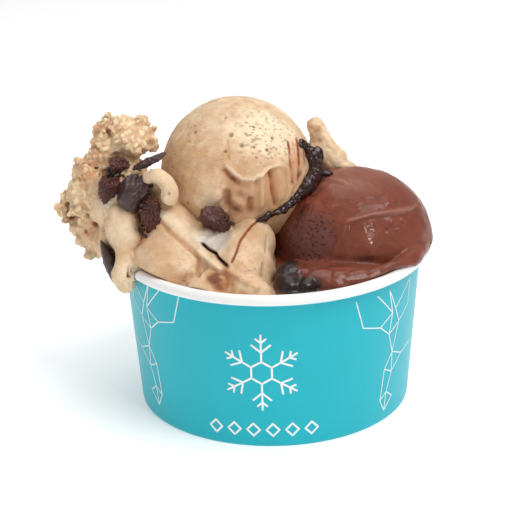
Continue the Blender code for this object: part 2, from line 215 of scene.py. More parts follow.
def scatter(points, size, seed=0):
    """Distances to the nearest two of centres scattered about size apart, and a number from
    0 to 1 that belongs to the nearest."""
    placed = points / size
    whole = np.floor(placed).astype(np.int64)
    near = np.full(len(points), 9.0)
    second, own = near.copy(), near.copy()
    for corner in product((-1, 0, 1), repeat=3):
        cell = whole + corner
        centre = cell + np.stack([lattice(cell, seed + i) for i in range(3)], axis=1)
        away = np.linalg.norm(placed - centre, axis=1)
        closer = away < near
        second = np.where(closer, near, np.minimum(second, away))
        own = np.where(closer, lattice(cell, seed + 3), own)
        near = np.where(closer, away, near)
    return near * size, second * size, own


def rise(value, low, high):
    """0 up to low and 1 from high, with a soft slope between."""
    share = np.clip((value - low) / (high - low), 0, 1)
    return share * share * (3 - 2 * share)


def stroke(points, route, width):
    """1 on the line through the route's points, and 0 from width away."""
    best = np.full(len(points), np.inf)
    stops = [np.array(stop, dtype=float) for stop in route]
    for start, end in zip(stops, stops[1:]):
        run = end - start
        share = np.clip((points - start) @ run / (run @ run), 0, 1)
        best = np.minimum(best, np.linalg.norm(points - start - share[:, None] * run, axis=1))
    return 1 - rise(best, 0, width)


# Which way the cup's front side looks up
FRONT = np.array((0.0, -0.931, 0.364))


def flattened(points):
    """The points as they lie when the cup is looked at from its front side."""
    return points - (points @ FRONT)[:, None] * FRONT


def front_stroke(points, route, width):
    """A stroke drawn on from the front, on whatever surface is within 8 mm of the route."""
    stops = np.array(route, dtype=float)
    drawn = stroke(flattened(points), flattened(stops), width)
    return drawn * rise(stroke(points, route, 16.0), 0.1, 0.5)


def patch(points, centre, reach):
    """1 at the centre, and 0 from the reach away, which may differ along x, y and z."""
    return 1 - rise(np.linalg.norm((points - centre) / np.array(reach), axis=1), 0.25, 1)


def blend(tint, share, colour):
    """The tint with a share of another colour in it."""
    share = np.clip(share, 0, 1)[:, None]
    return tint * (1 - share) + np.array(colour) * share


# ---------------------------------------------------------------- meshes


def lump(bm, centre, radii, turn=(0, 0, 0), detail=3):
    """Adds an ellipsoid, with its turn in degrees, or a ball when radii is one number."""
    if not hasattr(radii, "__len__"):
        radii = (radii,) * 3
    rotation = Euler([math.radians(angle) for angle in turn]).to_matrix().to_4x4()
    place = Matrix.Translation(centre) @ rotation @ Matrix.Diagonal((*radii, 1))
    bmesh.ops.create_icosphere(bm, subdivisions=detail, radius=1.0, matrix=place)


def along(route, spacing):
    """Points of a smooth curve through the route's points, and the share of the way of each."""
    stops = [Vector(stop) for stop in route]
    ends = [stops[0] * 2 - stops[1], *stops, stops[-1] * 2 - stops[-2]]
    made = []
    for a, b, c, d in zip(ends, ends[1:], ends[2:], ends[3:]):
        count = max(1, round((c - b).length / spacing))
        for k in range(count):
            t = k / count
            made.append(0.5 * (2 * b + (c - a) * t + (2 * a - 5 * b + 4 * c - d) * t**2
                               + (3 * b - a - 3 * c + d) * t**3))
    made.append(stops[-1])
    return [(point, i / (len(made) - 1)) for i, point in enumerate(made)]


def bead_line(bm, route, start, end, swell=0.12, spacing=0.8):
    """Adds overlapping round beads along a smooth route, from one radius to another."""
    for point, share in along(route, spacing):
        radius = (start + (end - start) * share) * (1 + swell * math.sin(9 * share + point.x))
        lump(bm, point, radius, detail=2)


def turned(profile, steps):
    """A closed profile of (radius, height) points spun a full turn."""
    bm = bmesh.new()
    verts = [bm.verts.new((radius, 0, height)) for radius, height in profile]
    edges = [bm.edges.new(pair) for pair in zip(verts, verts[1:] + verts[:1])]
    bmesh.ops.spin(
        bm, geom=verts + edges, cent=(0, 0, 0), axis=(0, 0, 1),
        angle=2 * math.pi, steps=steps, use_merge=True,
    )
    bmesh.ops.remove_doubles(bm, verts=bm.verts, dist=0.001)
    bmesh.ops.recalc_face_normals(bm, faces=bm.faces)
    return bm


def mesh_from(bm, name):
    mesh = bpy.data.meshes.new(name)
    bm.to_mesh(mesh)
    bm.free()
    return mesh


def fused(bm, name, voxel, soften):
    """The shapes of the bmesh as one skin, softened by so many rounds of smoothing."""
    obj = bpy.data.objects.new(name, mesh_from(bm, name))
    bpy.context.scene.collection.objects.link(obj)
    remesh = obj.modifiers.new("fuse", "REMESH")
    remesh.mode = "VOXEL"
    remesh.voxel_size = voxel / MM
    smooth = obj.modifiers.new("soften", "SMOOTH")
    smooth.iterations = soften
    smooth.factor = 0.5
    graph = bpy.context.evaluated_depsgraph_get()
    mesh = bpy.data.meshes.new_from_object(obj.evaluated_get(graph))
    bpy.data.objects.remove(obj)
    return mesh


def points_of(mesh):
    """The mesh's points and the directions they face, as two arrays."""
    places = np.empty(len(mesh.vertices) * 3)
    mesh.vertices.foreach_get("co", places)
    facing = np.empty(len(mesh.vertices) * 3)
    mesh.vertex_normals.foreach_get("vector", facing)
    return places.reshape(-1, 3), facing.reshape(-1, 3)


def move(mesh, places):
    mesh.vertices.foreach_set("co", np.ascontiguousarray(places).ravel())
    mesh.update()


def store(mesh, name, values):
    """Stores a colour or a number for each point, for the material to read."""
    if values.ndim == 2:
        layer = mesh.attributes.new(name, "FLOAT_COLOR", "POINT")
        colours = np.column_stack([values, np.ones(len(values))])
        layer.data.foreach_set("color", colours.ravel())
    else:
        layer = mesh.attributes.new(name, "FLOAT", "POINT")
        layer.data.foreach_set("value", values)


def finished(mesh, name, materials, slot, *nodes):
    """The mesh as a piece of the cup: in place, in metres, and standing for its solids."""
    mesh.transform(Matrix.Translation(CUP_AXIS) @ Matrix.Scale(MM, 4))
    for made in materials:
        mesh.materials.append(made)
    mesh.shade_smooth()
    piece = bpy.data.objects.new(name, mesh)
    bpy.context.scene.collection.objects.link(piece)
    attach(piece, "root")
    if nodes:
        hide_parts(*nodes)
    return piece


def wall_radius(height):
    """The wall's outer radius at a height."""
    return WALL_BASE_RADIUS + (WALL_TOP_RADIUS - WALL_BASE_RADIUS) * height / WALL_HEIGHT


def held_by_wall(places, over_rim=None):
    """The points drawn in to the wall's inside, and kept off the rim except where it is
    run over."""
    radius = np.hypot(places[:, 0], places[:, 1])
    inner = wall_radius(places[:, 2]) - BOARD - 0.1
    above = rise(places[:, 2], RIM_TOP - 1.2, RIM_TOP + 2.5)
    most = inner + above * 2.2
    if over_rim is not None:
        most = most + over_rim
    share = np.where(radius > most, most / np.maximum(radius, 0.001), 1.0)
    held = places.copy()
    held[:, :2] *= share[:, None]
    return held


def bed(bm, side, low, high):
    """Adds the half of the cup's filling on one side of the line between the flavours."""
    part = bmesh.new()
    bmesh.ops.create_cone(
        part, cap_ends=True, segments=96, depth=high - low,
        radius1=wall_radius(low) - BOARD - 0.15, radius2=wall_radius(high) - BOARD - 0.15,
    )
    bmesh.ops.translate(part, verts=part.verts, vec=(0, 0, (low + high) / 2))
    cut = bmesh.ops.bisect_plane(
        part, geom=part.verts[:] + part.edges[:] + part.faces[:],
        plane_co=(0.7, 0, 0), plane_no=(-side, 0, 0), clear_outer=True,
    )
    rim = [item for item in cut["geom_cut"] if isinstance(item, bmesh.types.BMEdge)]
    bmesh.ops.edgenet_fill(part, edges=rim)
    bmesh.ops.recalc_face_normals(part, faces=part.faces)
    mesh = mesh_from(part, "bed")
    bm.from_mesh(mesh)
    bpy.data.meshes.remove(mesh)


def joined(mesh, extra):
    """The mesh with another one's shapes and colours added to it."""
    bm = bmesh.new()
    bm.from_mesh(mesh)
    bm.from_mesh(extra)
    bm.to_mesh(mesh)
    bm.free()
    bpy.data.meshes.remove(extra)
    return mesh


# ---------------------------------------------------------------- materials


def add(tree, kind, inputs=None, **settings):
    """Adds a node with its settings, and sets or links its inputs."""
    node = tree.nodes.new(kind)
    for name, value in settings.items():
        setattr(node, name, value)
    for name, value in (inputs or {}).items():
        socket = node.inputs[name]
        if isinstance(value, bpy.types.NodeSocket):
            tree.links.new(value, socket)
        else:
            socket.default_value = value
    return node


def new_material(name):
    """A new material with only its Principled shader, as (material, node tree, shader)."""
    made = bpy.data.materials.new(name)
    made.use_nodes = True
    shader = made.node_tree.nodes["Principled BSDF"]
    return made, made.node_tree, shader


def set_sockets(shader, values):
    """Sets a shader's sockets from a table of socket name and value."""
    for name, value in values.items():
        shader.inputs[name].default_value = value


def board_material(name, colour, gloss):
    """Coated cup board: bleached paper with a thin smooth coat, so the fibres show only as
    a faint unevenness under the gloss."""
    made, tree, shader = new_material(name)
    place = add(tree, "ShaderNodeTexCoord").outputs["Object"]
    fibre = add(
        tree, "ShaderNodeTexNoise",
        {"Vector": place, "Scale": 900.0, "Detail": 3.0, "Roughness": 0.6},
    )
    cloud = add(tree, "ShaderNodeTexNoise", {"Vector": place, "Scale": 60.0, "Detail": 2.0})
    shade = add(
        tree, "ShaderNodeMapRange",
        {"Value": cloud.outputs["Fac"], "From Min": 0.3, "From Max": 0.7,
         "To Min": 0.97, "To Max": 1.02},
    )
    tint = add(
        tree, "ShaderNodeVectorMath",
        {0: (*colour,), "Scale": shade.outputs["Result"]}, operation="SCALE",
    )
    tree.links.new(tint.outputs["Vector"], shader.inputs["Base Color"])
    rough = add(
        tree, "ShaderNodeMapRange",
        {"Value": fibre.outputs["Fac"], "To Min": gloss - 0.04, "To Max": gloss + 0.06},
    )
    tree.links.new(rough.outputs["Result"], shader.inputs["Roughness"])
    bump = add(
        tree, "ShaderNodeBump",
        {"Height": fibre.outputs["Fac"], "Strength": 0.12, "Distance": 0.00005},
    )
    tree.links.new(bump.outputs["Normal"], shader.inputs["Normal"])
    set_sockets(shader, {"IOR": 1.5, "Specular IOR Level": 0.35})
    return made


def gelato_material(name, scatter_colour, dry, wet, grain):
    """Gelato: frozen cream and sugar, which light enters, so it glows softly and its edges
    are never hard. The points' own "tint" gives colour, and "wet" where it has melted."""
    made, tree, shader = new_material(name)
    place = add(tree, "ShaderNodeTexCoord").outputs["Object"]
    tint = add(tree, "ShaderNodeAttribute", attribute_name="tint").outputs["Color"]
    melted = add(tree, "ShaderNodeAttribute", attribute_name="wet").outputs["Fac"]
    pitted = add(tree, "ShaderNodeAttribute", attribute_name="pits").outputs["Fac"]
    # Ice grain of about 0.4 mm, and cloudy patches of about 4 mm where the churn varies
    fine = add(
        tree, "ShaderNodeTexNoise",
        {"Vector": place, "Scale": 2400.0, "Detail": 3.0, "Roughness": 0.6},
    )
    cloud = add(
        tree, "ShaderNodeTexNoise",
        {"Vector": place, "Scale": 240.0, "Detail": 4.0, "Roughness": 0.6},
    )
    mixed = add(
        tree, "ShaderNodeMath",
        {0: fine.outputs["Fac"], 1: cloud.outputs["Fac"]}, operation="ADD",
    )
    shade = add(
        tree, "ShaderNodeMapRange",
        {"Value": mixed.outputs["Value"], "From Min": 0.7, "From Max": 1.3,
         "To Min": 1 - grain, "To Max": 1 + grain},
    )
    # Air pits of about 0.7 mm, drawn out along the scoop's sweep and painted darker than the gelato as
    # painted shade
    drawn = add(
        tree, "ShaderNodeMapping",
        {"Vector": place, "Rotation": (0, math.radians(-28), 0), "Scale": (0.5, 1.0, 1.0)},
    )
    holes = add(
        tree, "ShaderNodeTexVoronoi",
        {"Vector": drawn.outputs["Vector"], "Scale": 950.0, "Randomness": 1.0},
    )
    open_pit = add(
        tree, "ShaderNodeMapRange",
        {"Value": holes.outputs["Distance"], "From Min": 0.14, "From Max": 0.4,
         "To Min": 1.0, "To Max": 0.0},
        interpolation_type="SMOOTHSTEP",
    )
    pit = add(
        tree, "ShaderNodeMath", {0: open_pit.outputs["Result"], 1: pitted}, operation="MULTIPLY",
    )
    pit_shade = add(
        tree, "ShaderNodeMath", {0: pit.outputs["Value"], 1: -0.4, 2: 1.0},
        operation="MULTIPLY_ADD",
    )
    both = add(
        tree, "ShaderNodeMath",
        {0: shade.outputs["Result"], 1: pit_shade.outputs["Value"]}, operation="MULTIPLY",
    )
    colour = add(
        tree, "ShaderNodeVectorMath", {0: tint, "Scale": both.outputs["Value"]},
        operation="SCALE",
    )
    tree.links.new(colour.outputs["Vector"], shader.inputs["Base Color"])
    rough = add(
        tree, "ShaderNodeMapRange", {"Value": melted, "To Min": dry, "To Max": wet},
    )
    uneven = add(
        tree, "ShaderNodeMath",
        {0: cloud.outputs["Fac"], 1: 0.22, 2: -0.11}, operation="MULTIPLY_ADD",
    )
    gloss = add(
        tree, "ShaderNodeMath",
        {0: rough.outputs["Result"], 1: uneven.outputs["Value"]}, operation="ADD",
    )
    tree.links.new(gloss.outputs["Value"], shader.inputs["Roughness"])
    height = add(
        tree, "ShaderNodeMath",
        {0: pit.outputs["Value"], 1: -1.2, 2: mixed.outputs["Value"]},
        operation="MULTIPLY_ADD",
    )
    bump = add(
        tree, "ShaderNodeBump",
        {"Height": height.outputs["Value"], "Strength": 0.6, "Distance": 0.0004},
    )
    tree.links.new(bump.outputs["Normal"], shader.inputs["Normal"])
    # Where it has melted, a thin film of syrup lies on it
    film = add(
        tree, "ShaderNodeMapRange",
        {"Value": melted, "From Min": 0.55, "From Max": 1.0, "To Max": 0.7},
    )
    tree.links.new(film.outputs["Result"], shader.inputs["Coat Weight"])
    set_sockets(shader, {
        "Coat Roughness": 0.1, "Coat IOR": 1.4, "Specular IOR Level": 0.3,
        "IOR": 1.36, "Subsurface Weight": 0.35, "Subsurface Radius": scatter_colour,
        "Subsurface Scale": 0.0012,
    })
    return made


def chunk_material(name, colour, rough):
    """Dark chocolate: cocoa fat and sugar that broke, so it is satin where it snapped and
    has paler, warmer patches on the raised parts of its bump, painted highlights."""
    made, tree, shader = new_material(name)
    place = add(tree, "ShaderNodeTexCoord").outputs["Object"]
    cloud = add(
        tree, "ShaderNodeTexNoise",
        {"Vector": place, "Scale": 420.0, "Detail": 5.0, "Roughness": 0.65},
    )
    # Painted highlights: paler, warmer colour where the bump rises
    painted_glint = add(tree, "ShaderNodeMapRange",
               {"Value": cloud.outputs["Fac"], "From Min": 0.35, "From Max": 0.68})
    tint = add(
        tree, "ShaderNodeMix",
        {"Factor": painted_glint.outputs["Result"], "A": (*colour, 1),
         "B": (colour[0] * 2.4, colour[1] * 2.1, colour[2] * 2.0, 1)},
        data_type="RGBA",
    )
    tree.links.new(tint.outputs["Result"], shader.inputs["Base Color"])
    gloss = add(
        tree, "ShaderNodeMapRange",
        {"Value": cloud.outputs["Fac"], "From Min": 0.3, "From Max": 0.7,
         "To Min": rough - 0.12, "To Max": rough + 0.15},
    )
    tree.links.new(gloss.outputs["Result"], shader.inputs["Roughness"])
    bump = add(
        tree, "ShaderNodeBump",
        {"Height": cloud.outputs["Fac"], "Strength": 0.6, "Distance": 0.0003},
    )
    tree.links.new(bump.outputs["Normal"], shader.inputs["Normal"])
    set_sockets(shader, {"IOR": 1.47})
    return made


def material(name):
    """The named material, made on first use."""
    found = bpy.data.materials.get(name)
    if found:
        return found
    cup = bpy.context.scene.gelato_cup
    food = bpy.context.scene.gelato_food
    makers = {
        "printed_cup_board": lambda: board_material(name, cup.printed, 0.36),
        "bare_cup_board": lambda: board_material(name, cup.board, 0.42),
        "line_ink": lambda: board_material(name, cup.ink, 0.38),
        "churned_hazelnut_gelato": lambda: gelato_material(name, (1.0, 0.55, 0.3), 0.62, 0.2, 0.1),
        "churned_chocolate_gelato": lambda: gelato_material(name, (1.0, 0.35, 0.2), 0.6, 0.38, 0.1),
        "dark_chocolate": lambda: chunk_material(name, food.dark, 0.34),
        "crumbly_chocolate": lambda: chunk_material(name, food.crumbly, 0.4),
        "fudge_sauce": lambda: chunk_material(name, food.fudge, 0.17),
    }
    return makers[name]()


# ---------------------------------------------------------------- the cup


class GELATO_OT_cup(bpy.types.Operator):
    """Make the board wall with its rolled rim, seam and folded foot, and the base disc"""

    bl_idname = "gelato.cup"
    bl_label = "Cup"

    def execute(self, context):
        steps = context.scene.gelato_cup.steps
        mesh = mesh_from(self.wall(steps), "cup_wall_board")
        mesh.materials.append(material("bare_cup_board"))
        mesh.materials.append(material("printed_cup_board"))
        for face in mesh.polygons:
            middle = face.center
            outside = math.hypot(middle.x, middle.y) > wall_radius(middle.z) - BOARD / 2
            face.material_index = int(outside and 0.05 < middle.z < WALL_HEIGHT + 0.2)
        finished(mesh, "cup_wall_board", [], "printed_board", "cup_wall")
        disc = mesh_from(self.disc(steps), "cup_base_board")
        finished(disc, "cup_base_board", [material("bare_cup_board")], "white_board", "cup_base")
        return {"FINISHED"}

    def wall(self, steps):
        """The wall's board, with the step of its glued overlap at the back."""
        inside = [
            (wall_radius(height) - BOARD, height)
            for height in np.linspace(WALL_HEIGHT, FOLD_HEIGHT, 12)
        ]
        foot = [
            (wall_radius(FOLD_HEIGHT) - FOLD_THICKNESS, FOLD_HEIGHT - 0.2),
            (WALL_BASE_RADIUS - FOLD_THICKNESS, 0.25),
            (WALL_BASE_RADIUS - FOLD_THICKNESS + 0.25, 0.0),
            (WALL_BASE_RADIUS - 0.3, 0.0),
            (WALL_BASE_RADIUS - 0.05, 0.25),
        ]
        outside = [
            (wall_radius(height), height) for height in np.linspace(1.0, WALL_HEIGHT - 0.1, 40)
        ]
        roll = []
        for k in range(22):
            angle = math.radians(-118 + 298 * k / 21)
            roll.append((
                ROLL_CENTRE[0] + ROLL_RADIUS * math.cos(angle),
                ROLL_CENTRE[1] + ROLL_RADIUS * math.sin(angle),
            ))
        bm = turned(inside + foot + outside + roll, steps)
        for vertex in bm.verts:
            x, y, z = vertex.co
            radius = math.hypot(x, y)
            turn = math.degrees(math.atan2(x, y))
            if z < WALL_HEIGHT and radius > wall_radius(z) - BOARD / 2:
                if -SEAM_DEGREES / 2 < turn < SEAM_DEGREES / 2:
                    radius += SEAM_STEP
                radius += 0.06 * math.sin(5 * math.radians(turn) + 0.05 * z)
                vertex.co = Vector((x, y, 0)).normalized() * radius + Vector((0, 0, z))
        return bm

    def disc(self, steps):
        """The base disc, with the pressed ring where it turns down into the foot."""
        low = BASE_HEIGHT
        edge = BASE_RADIUS
        profile = [
            (0.02, low), (edge - 5, low), (edge - 4.2, low + 0.25), (edge - 3.2, low + 0.25),
            (edge - 2.4, low), (edge, low), (edge, low + BOARD), (0.02, low + BOARD),
        ]
        return turned(profile, steps)


def ink_run(bm, start, end, width):
    """Adds a thin printed line between two (distance round, height) points of the wall."""
    run = Vector(end) - Vector(start)
    length = run.length
    part = bmesh.new()
    bmesh.ops.create_cube(part, size=1.0)
    bmesh.ops.scale(part, verts=part.verts, vec=(length + width * 0.6, width, 0.05))
    lengthwise = [
        edge for edge in part.edges if abs(edge.verts[0].co.x - edge.verts[1].co.x) > 0.5 * length
    ]
    bmesh.ops.subdivide_edges(part, edges=lengthwise, cuts=max(1, int(length / 1.2)),
                              use_grid_fill=True)
    turn = Matrix.Rotation(math.atan2(run.y, run.x), 4, "Z")
    middle = (Vector(start) + Vector(end)) / 2
    bmesh.ops.transform(
        part, verts=part.verts, matrix=Matrix.Translation((middle.x, middle.y, 0)) @ turn,
    )
    mesh = mesh_from(part, "ink")
    bm.from_mesh(mesh)
    bpy.data.meshes.remove(mesh)


def wrap_on_wall(bm, turn_degrees):
    """Wraps flat (distance round, height, thickness) shapes on the wall, from an angle."""
    for vertex in bm.verts:
        across, height, thick = vertex.co
        angle = across / WALL_TOP_RADIUS + math.radians(turn_degrees)
        radius = wall_radius(height) + 0.07 + thick
        radius += 0.06 * math.sin(5 * math.radians(180 - math.degrees(angle)) + 0.05 * height)
        vertex.co = (radius * math.sin(angle), -radius * math.cos(angle), height)


# Folded-paper figures of straight lines, as (distance round, height) points
FOLDED_FIGURE = [
    [(-9, 45), (-1, 38), (3, 45), (0.5, 37), (8, 44.5)],
    [(-1, 38), (-3.5, 33), (1.5, 30.5), (0.5, 37), (6, 34), (1.5, 30.5), (-1, 24), (-3.5, 33)],
    [(6, 34), (13, 36), (16, 45)],
    [(-1, 24), (-7, 21.5), (-1.5, 17.5), (-1, 24), (2.5, 19.5), (-1.5, 17.5), (0.5, 11.5)],
    [(0.5, 11.5), (-3, 9), (1, 5.5), (3.5, 9.5), (0.5, 11.5), (1, 5.5)],
    [(-7, 21.5), (-14, 22.5)],
    [(2.5, 19.5), (3.5, 9.5)],
    [(-3.5, 33), (-9, 36.5), (-9, 45)],
]


class GELATO_OT_print(bpy.types.Operator):
    """Make the white printed lines: folded figures round the wall and a crystal emblem"""

    bl_idname = "gelato.print"
    bl_label = "Print"

    def execute(self, context):
        thin = context.scene.gelato_cup.line_width / MM
        bold = context.scene.gelato_cup.bold_width / MM
        bm = bmesh.new()
        for turn, side, lift in ((-58, 1, 0), (52, -1, -2), (120, 1, -1), (-128, -1, -2)):
            part = bmesh.new()
            for line in FOLDED_FIGURE:
                placed = [(side * x, y + lift) for x, y in line]
                for start, end in zip(placed, placed[1:]):
                    ink_run(part, start, end, thin)
            self.keep(bm, part, turn)
        part = bmesh.new()
        self.crystal(part, bold)
        self.band(part, bold)
        self.keep(bm, part, -5.5)
        mesh = mesh_from(bm, "print_lines")
        finished(mesh, "print_lines", [material("line_ink")], "white_board")
        return {"FINISHED"}

    def keep(self, bm, part, turn):
        wrap_on_wall(part, turn)
        mesh = mesh_from(part, "ink")
        bm.from_mesh(mesh)
        bpy.data.meshes.remove(mesh)

    def crystal(self, part, width):
        """A six-armed ice crystal round a hexagon."""
        middle = Vector((0, 24))
        for k in range(6):
            out = Vector((math.sin(math.radians(60 * k)), math.cos(math.radians(60 * k))))
            after = Vector((math.sin(math.radians(60 * k + 60)), math.cos(math.radians(60 * k + 60))))
            ink_run(part, middle + out * 3.5, middle + after * 3.5, width)
            ink_run(part, middle + out * 3.5, middle + out * 12, width)
            for share in (6.5, 9.5):
                for side in (-1, 1):
                    turn = math.radians(60 * k + side * 50)
                    branch = Vector((math.sin(turn), math.cos(turn))) * (13 - share) * 0.55
                    ink_run(part, middle + out * share, middle + out * share + branch, width)

    def band(self, part, width):
        """A row of small diamonds on a line."""
        for x in range(-15, 16, 6):
            for a, b in zip(((0, 2), (2, 0), (0, -2), (-2, 0)), ((2, 0), (0, -2), (-2, 0), (0, 2))):
                start = (x + a[0], 5.5 + a[1])
                end = (x + b[0], 5.5 + b[1])
                ink_run(part, start, end, width)


# ---------------------------------------------------------------- the hazelnut gelato


class GELATO_OT_filling(bpy.types.Operator):
    """Make the pressed hazelnut gelato, with its lobes, creases, crack and cream smear"""

    bl_idname = "gelato.filling"
    bl_label = "Hazelnut filling"

    FRONT = [
        ((-28.0, -18.0, 46.5), (14.0, 15.0, 13.0), (0, 0, 20)),
        ((-10.0, -25.0, 45.5), (10.8, 12.6, 14.4), (0, 4, 0)),
        ((-18.0, -19.0, 50.0), (10.5, 10.6, 10.8), (0, 0, 0)),
        ((-6.0, -17.0, 52.0), (7.0, 7.6, 9.2), (0, 0, 0)),
        ((-28.5, -12.5, 56.0), (9.5, 8.0, 8.6), (0, 20, 0)),
        ((-30.0, -8.0, 63.0), (5.6, 5.5, 7.0), (0, 0, 0)),
        ((-32.6, -9.0, 69.4), (3.8, 3.6, 4.8), (0, 0, 0)),
        ((-6.5, -37.5, 45.0), (6.5, 5.0, 6.0), (0, 0, 0)),
        ((-17.0, -34.0, 45.5), (8.0, 6.4, 6.4), (0, 0, 25)),
        ((-32.0, -26.0, 46.0), (7.0, 6.0, 5.5), (0, 0, 30)),
    ]
    BACK = [
        ((-34.0, 2.0, 46.0), (9.5, 20.0, 9.0), (0, 0, 6)),
        ((-18.0, 25.0, 45.0), (20.0, 15.0, 9.5), (0, 0, 20)),
        ((-4.0, 24.0, 43.5), (9.0, 17.0, 7.5), (0, 0, -8)),
    ]
    CREASE = [(-35.0, -13.0, 62.0), (-32.0, -17.0, 60.5), (-28.8, -21.9, 59.0),
              (-24.1, -27.1, 56.8), (-20.8, -29.5, 54.0), (-21.0, -32.5, 50.0)]
    CRACK = [(-19.8, -25.2, 56.8), (-18.0, -27.6, 56.0), (-16.4, -29.7, 55.6),
             (-15.6, -32.4, 55.3), (-13.2, -36.2, 54.3)]
    FOLD = [(-20.8, -27.0, 54.8), (-17.6, -32.0, 54.0), (-14.9, -35.6, 53.0)]
    FOLD_BELOW = [(-13.0, -36.6, 53.4), (-9.5, -38.6, 51.6), (-5.0, -39.6, 49.0)]
    STREAK = [(-3.6, -19.5, 61.6), (-5.6, -24.0, 61.6), (-7.4, -28.9, 61.2), (-9.2, -32.6, 60.0),
              (-10.3, -35.1, 57.8), (-11.6, -36.4, 55.4)]

    def execute(self, context):
        food = context.scene.gelato_food
        bm = bmesh.new()
        for centre, radii, turn in self.FRONT:
            lump(bm, centre, radii, turn)
        mesh = fused(bm, "filling_gelato", food.crumb_voxel, 22)
        places, facing = points_of(mesh)
        lift = 0.4 * waves(places, 8.0, 3) + 0.12 * waves(places, 2.2, 5, 2)
        lift += 0.06 * waves(places, 0.9, 6, 2)
        crack = front_stroke(places, self.CRACK, 0.7)
        crease = front_stroke(places, self.CREASE, 1.1)
        streak = front_stroke(places, self.STREAK, 0.6)
        nicks = front_stroke(places, [(-1.6, -29.0, 60.4), (-1.8, -34.2, 57.0)], 0.5)
        nicks = np.maximum(nicks, front_stroke(places, [(-2.9, -36.4, 54.6), (-3.3, -38.6, 51.6)], 0.6))
        lift += -1.6 * crack - 0.7 * crease - 0.25 * streak - 0.4 * nicks
        lift += 1.1 * front_stroke(places, self.FOLD, 1.6)
        lift += 0.9 * front_stroke(places, self.FOLD_BELOW, 1.6)
        # Above the crease the gelato was drawn on in a flat band
        lift += 0.6 * front_stroke(places, [(-30.0, -16.0, 61.5), (-22.0, -25.0, 58.0)], 3.4)
        smear = patch(places, (-16.6, -25.8, 58.4), (6.6, 9.0, 4.4))
        lift += smear * (0.35 * waves(places, 1.5, 11, 2) - 0.6)
        places = held_by_wall(places + facing * lift[:, None])
        move(mesh, places)
        self.paint(mesh, places, food, crack, crease, streak, nicks, smear)
        finished(joined(mesh, self.rest(food)), "filling_gelato",
                 [material("churned_hazelnut_gelato")], "hazelnut_gelato", "hazelnut_filling")
        return {"FINISHED"}

    def rest(self, food):
        """The level filling and its low back lobes, as a coarser mesh."""
        bm = bmesh.new()
        bed(bm, -1, BASE_HEIGHT + 1.0, 46.4)
        for centre, radii, turn in self.BACK:
            lump(bm, centre, radii, turn)
        mesh = fused(bm, "filling_rest", food.voxel * 1.5, 6)
        places, facing = points_of(mesh)
        lift = 0.45 * waves(places, 9.0, 3) + 0.14 * waves(places, 2.4, 5, 2)
        lift *= rise(places[:, 2], 42.0, 45.0)
        places = held_by_wall(places + facing * lift[:, None])
        move(mesh, places)
        cloud = waves(places, 7.0, 21)
        tint = np.tile(np.array(food.hazelnut), (len(places), 1))
        tint = blend(tint, 0.4 + 0.4 * cloud, food.pale)
        edge = rise(places[:, 0], -4.5, 0.5)
        tint = blend(tint, 0.6 * edge, food.cocoa)
        store(mesh, "tint", tint)
        store(mesh, "wet", np.clip(0.35 + 0.3 * cloud, 0, 1))
        store(mesh, "pits", np.clip(0.15 + 0.4 * cloud, 0, 1))
        return mesh

    def paint(self, mesh, places, food, crack, crease, streak, nicks, smear):
        cloud = waves(places, 6.0, 21)
        fine = waves(places, 1.8, 23, 2)
        tint = np.tile(np.array(food.hazelnut), (len(places), 1))
        tint = blend(tint, 0.35 + 0.45 * cloud + 0.15 * fine, food.pale)
        band = front_stroke(places, [(-30.0, -16.0, 61.5), (-21.0, -25.0, 58.0)], 4.2)
        tint = blend(tint, band * 0.9, food.pale)
        right = patch(places, (-6.0, -35.0, 53.0), (6.5, 7.0, 6.5))
        tint = blend(tint, right * (0.3 + 0.25 * fine), food.peach)
        tint = blend(tint, smear * (1.15 + 0.2 * fine), food.cream)
        stain = patch(places, (-14.8, -36.8, 50.0), (6.0, 5.5, 5.0))
        for centre, reach, share in (((-24.0, -32.0, 49.0), (4.5, 4.0, 3.0), 0.55),
                                     ((-36.5, -19.5, 55.5), (4.0, 4.0, 3.5), 0.8),
                                     ((-20.6, -32.5, 50.5), (2.2, 3.0, 4.5), 0.7),
                                     # Painted shadow: the thin band low along the left rim, where the
                                     # gelato meets it
                                     ((-30.0, -31.5, 47.5), (8.0, 5.0, 1.6), 0.6),
                                     ((-9.0, -40.5, 47.5), (6.0, 4.0, 1.8), 0.6),
                                     ((-2.6, -17.5, 61.6), (1.5, 2.5, 1.4), 1.0)):
            stain = np.maximum(stain, share * patch(places, centre, reach))
        tint = blend(tint, stain * (0.9 + 0.5 * fine), food.caramel)
        run = patch(places, (-15.6, -36.8, 50.4), (4.2, 4.5, 4.8))
        run = np.maximum(run, 0.9 * patch(places, (-38.0, -18.6, 53.5), (3.0, 4.0, 2.4)))
        tint = blend(tint, run * (0.7 + 0.8 * fine), food.cocoa)
        # Round and under the middle chunk the gelato is darker, partly cocoa stain and partly painted
        # shade
        seat = patch(places, (-15.9, -21.6, 61.0), (6.4, 6.0, 4.2))
        tint = blend(tint, seat * (0.7 + 0.6 * fine), food.cocoa)
        # Painted shade: the crease is darkened with caramel
        tint = blend(tint, crease * 0.6, food.caramel)
        # Painted highlight: the raised fold below the crack is painted paler
        tint = blend(tint, 0.8 * front_stroke(places, self.FOLD, 1.5), food.pale)
        tint = blend(tint, streak * 1.3, food.burnt)
        # Painted shade: the crack and the nicks are darkened with cocoa and fudge
        tint = blend(tint, crack * 2.2, food.cocoa)
        tint = blend(tint, np.maximum(crack * 0.9, nicks * 0.3), food.fudge)
        spot = front_stroke(places, [(-13.4, -36.0, 54.5), (-12.8, -36.6, 54.1)], 1.0)
        tint = blend(tint, spot * 1.3, food.cocoa)
        edge = rise(places[:, 0], -2.5, 2.5) * rise(60 - places[:, 2], 0, 8)
        tint = blend(tint, 0.45 * edge, food.cocoa)
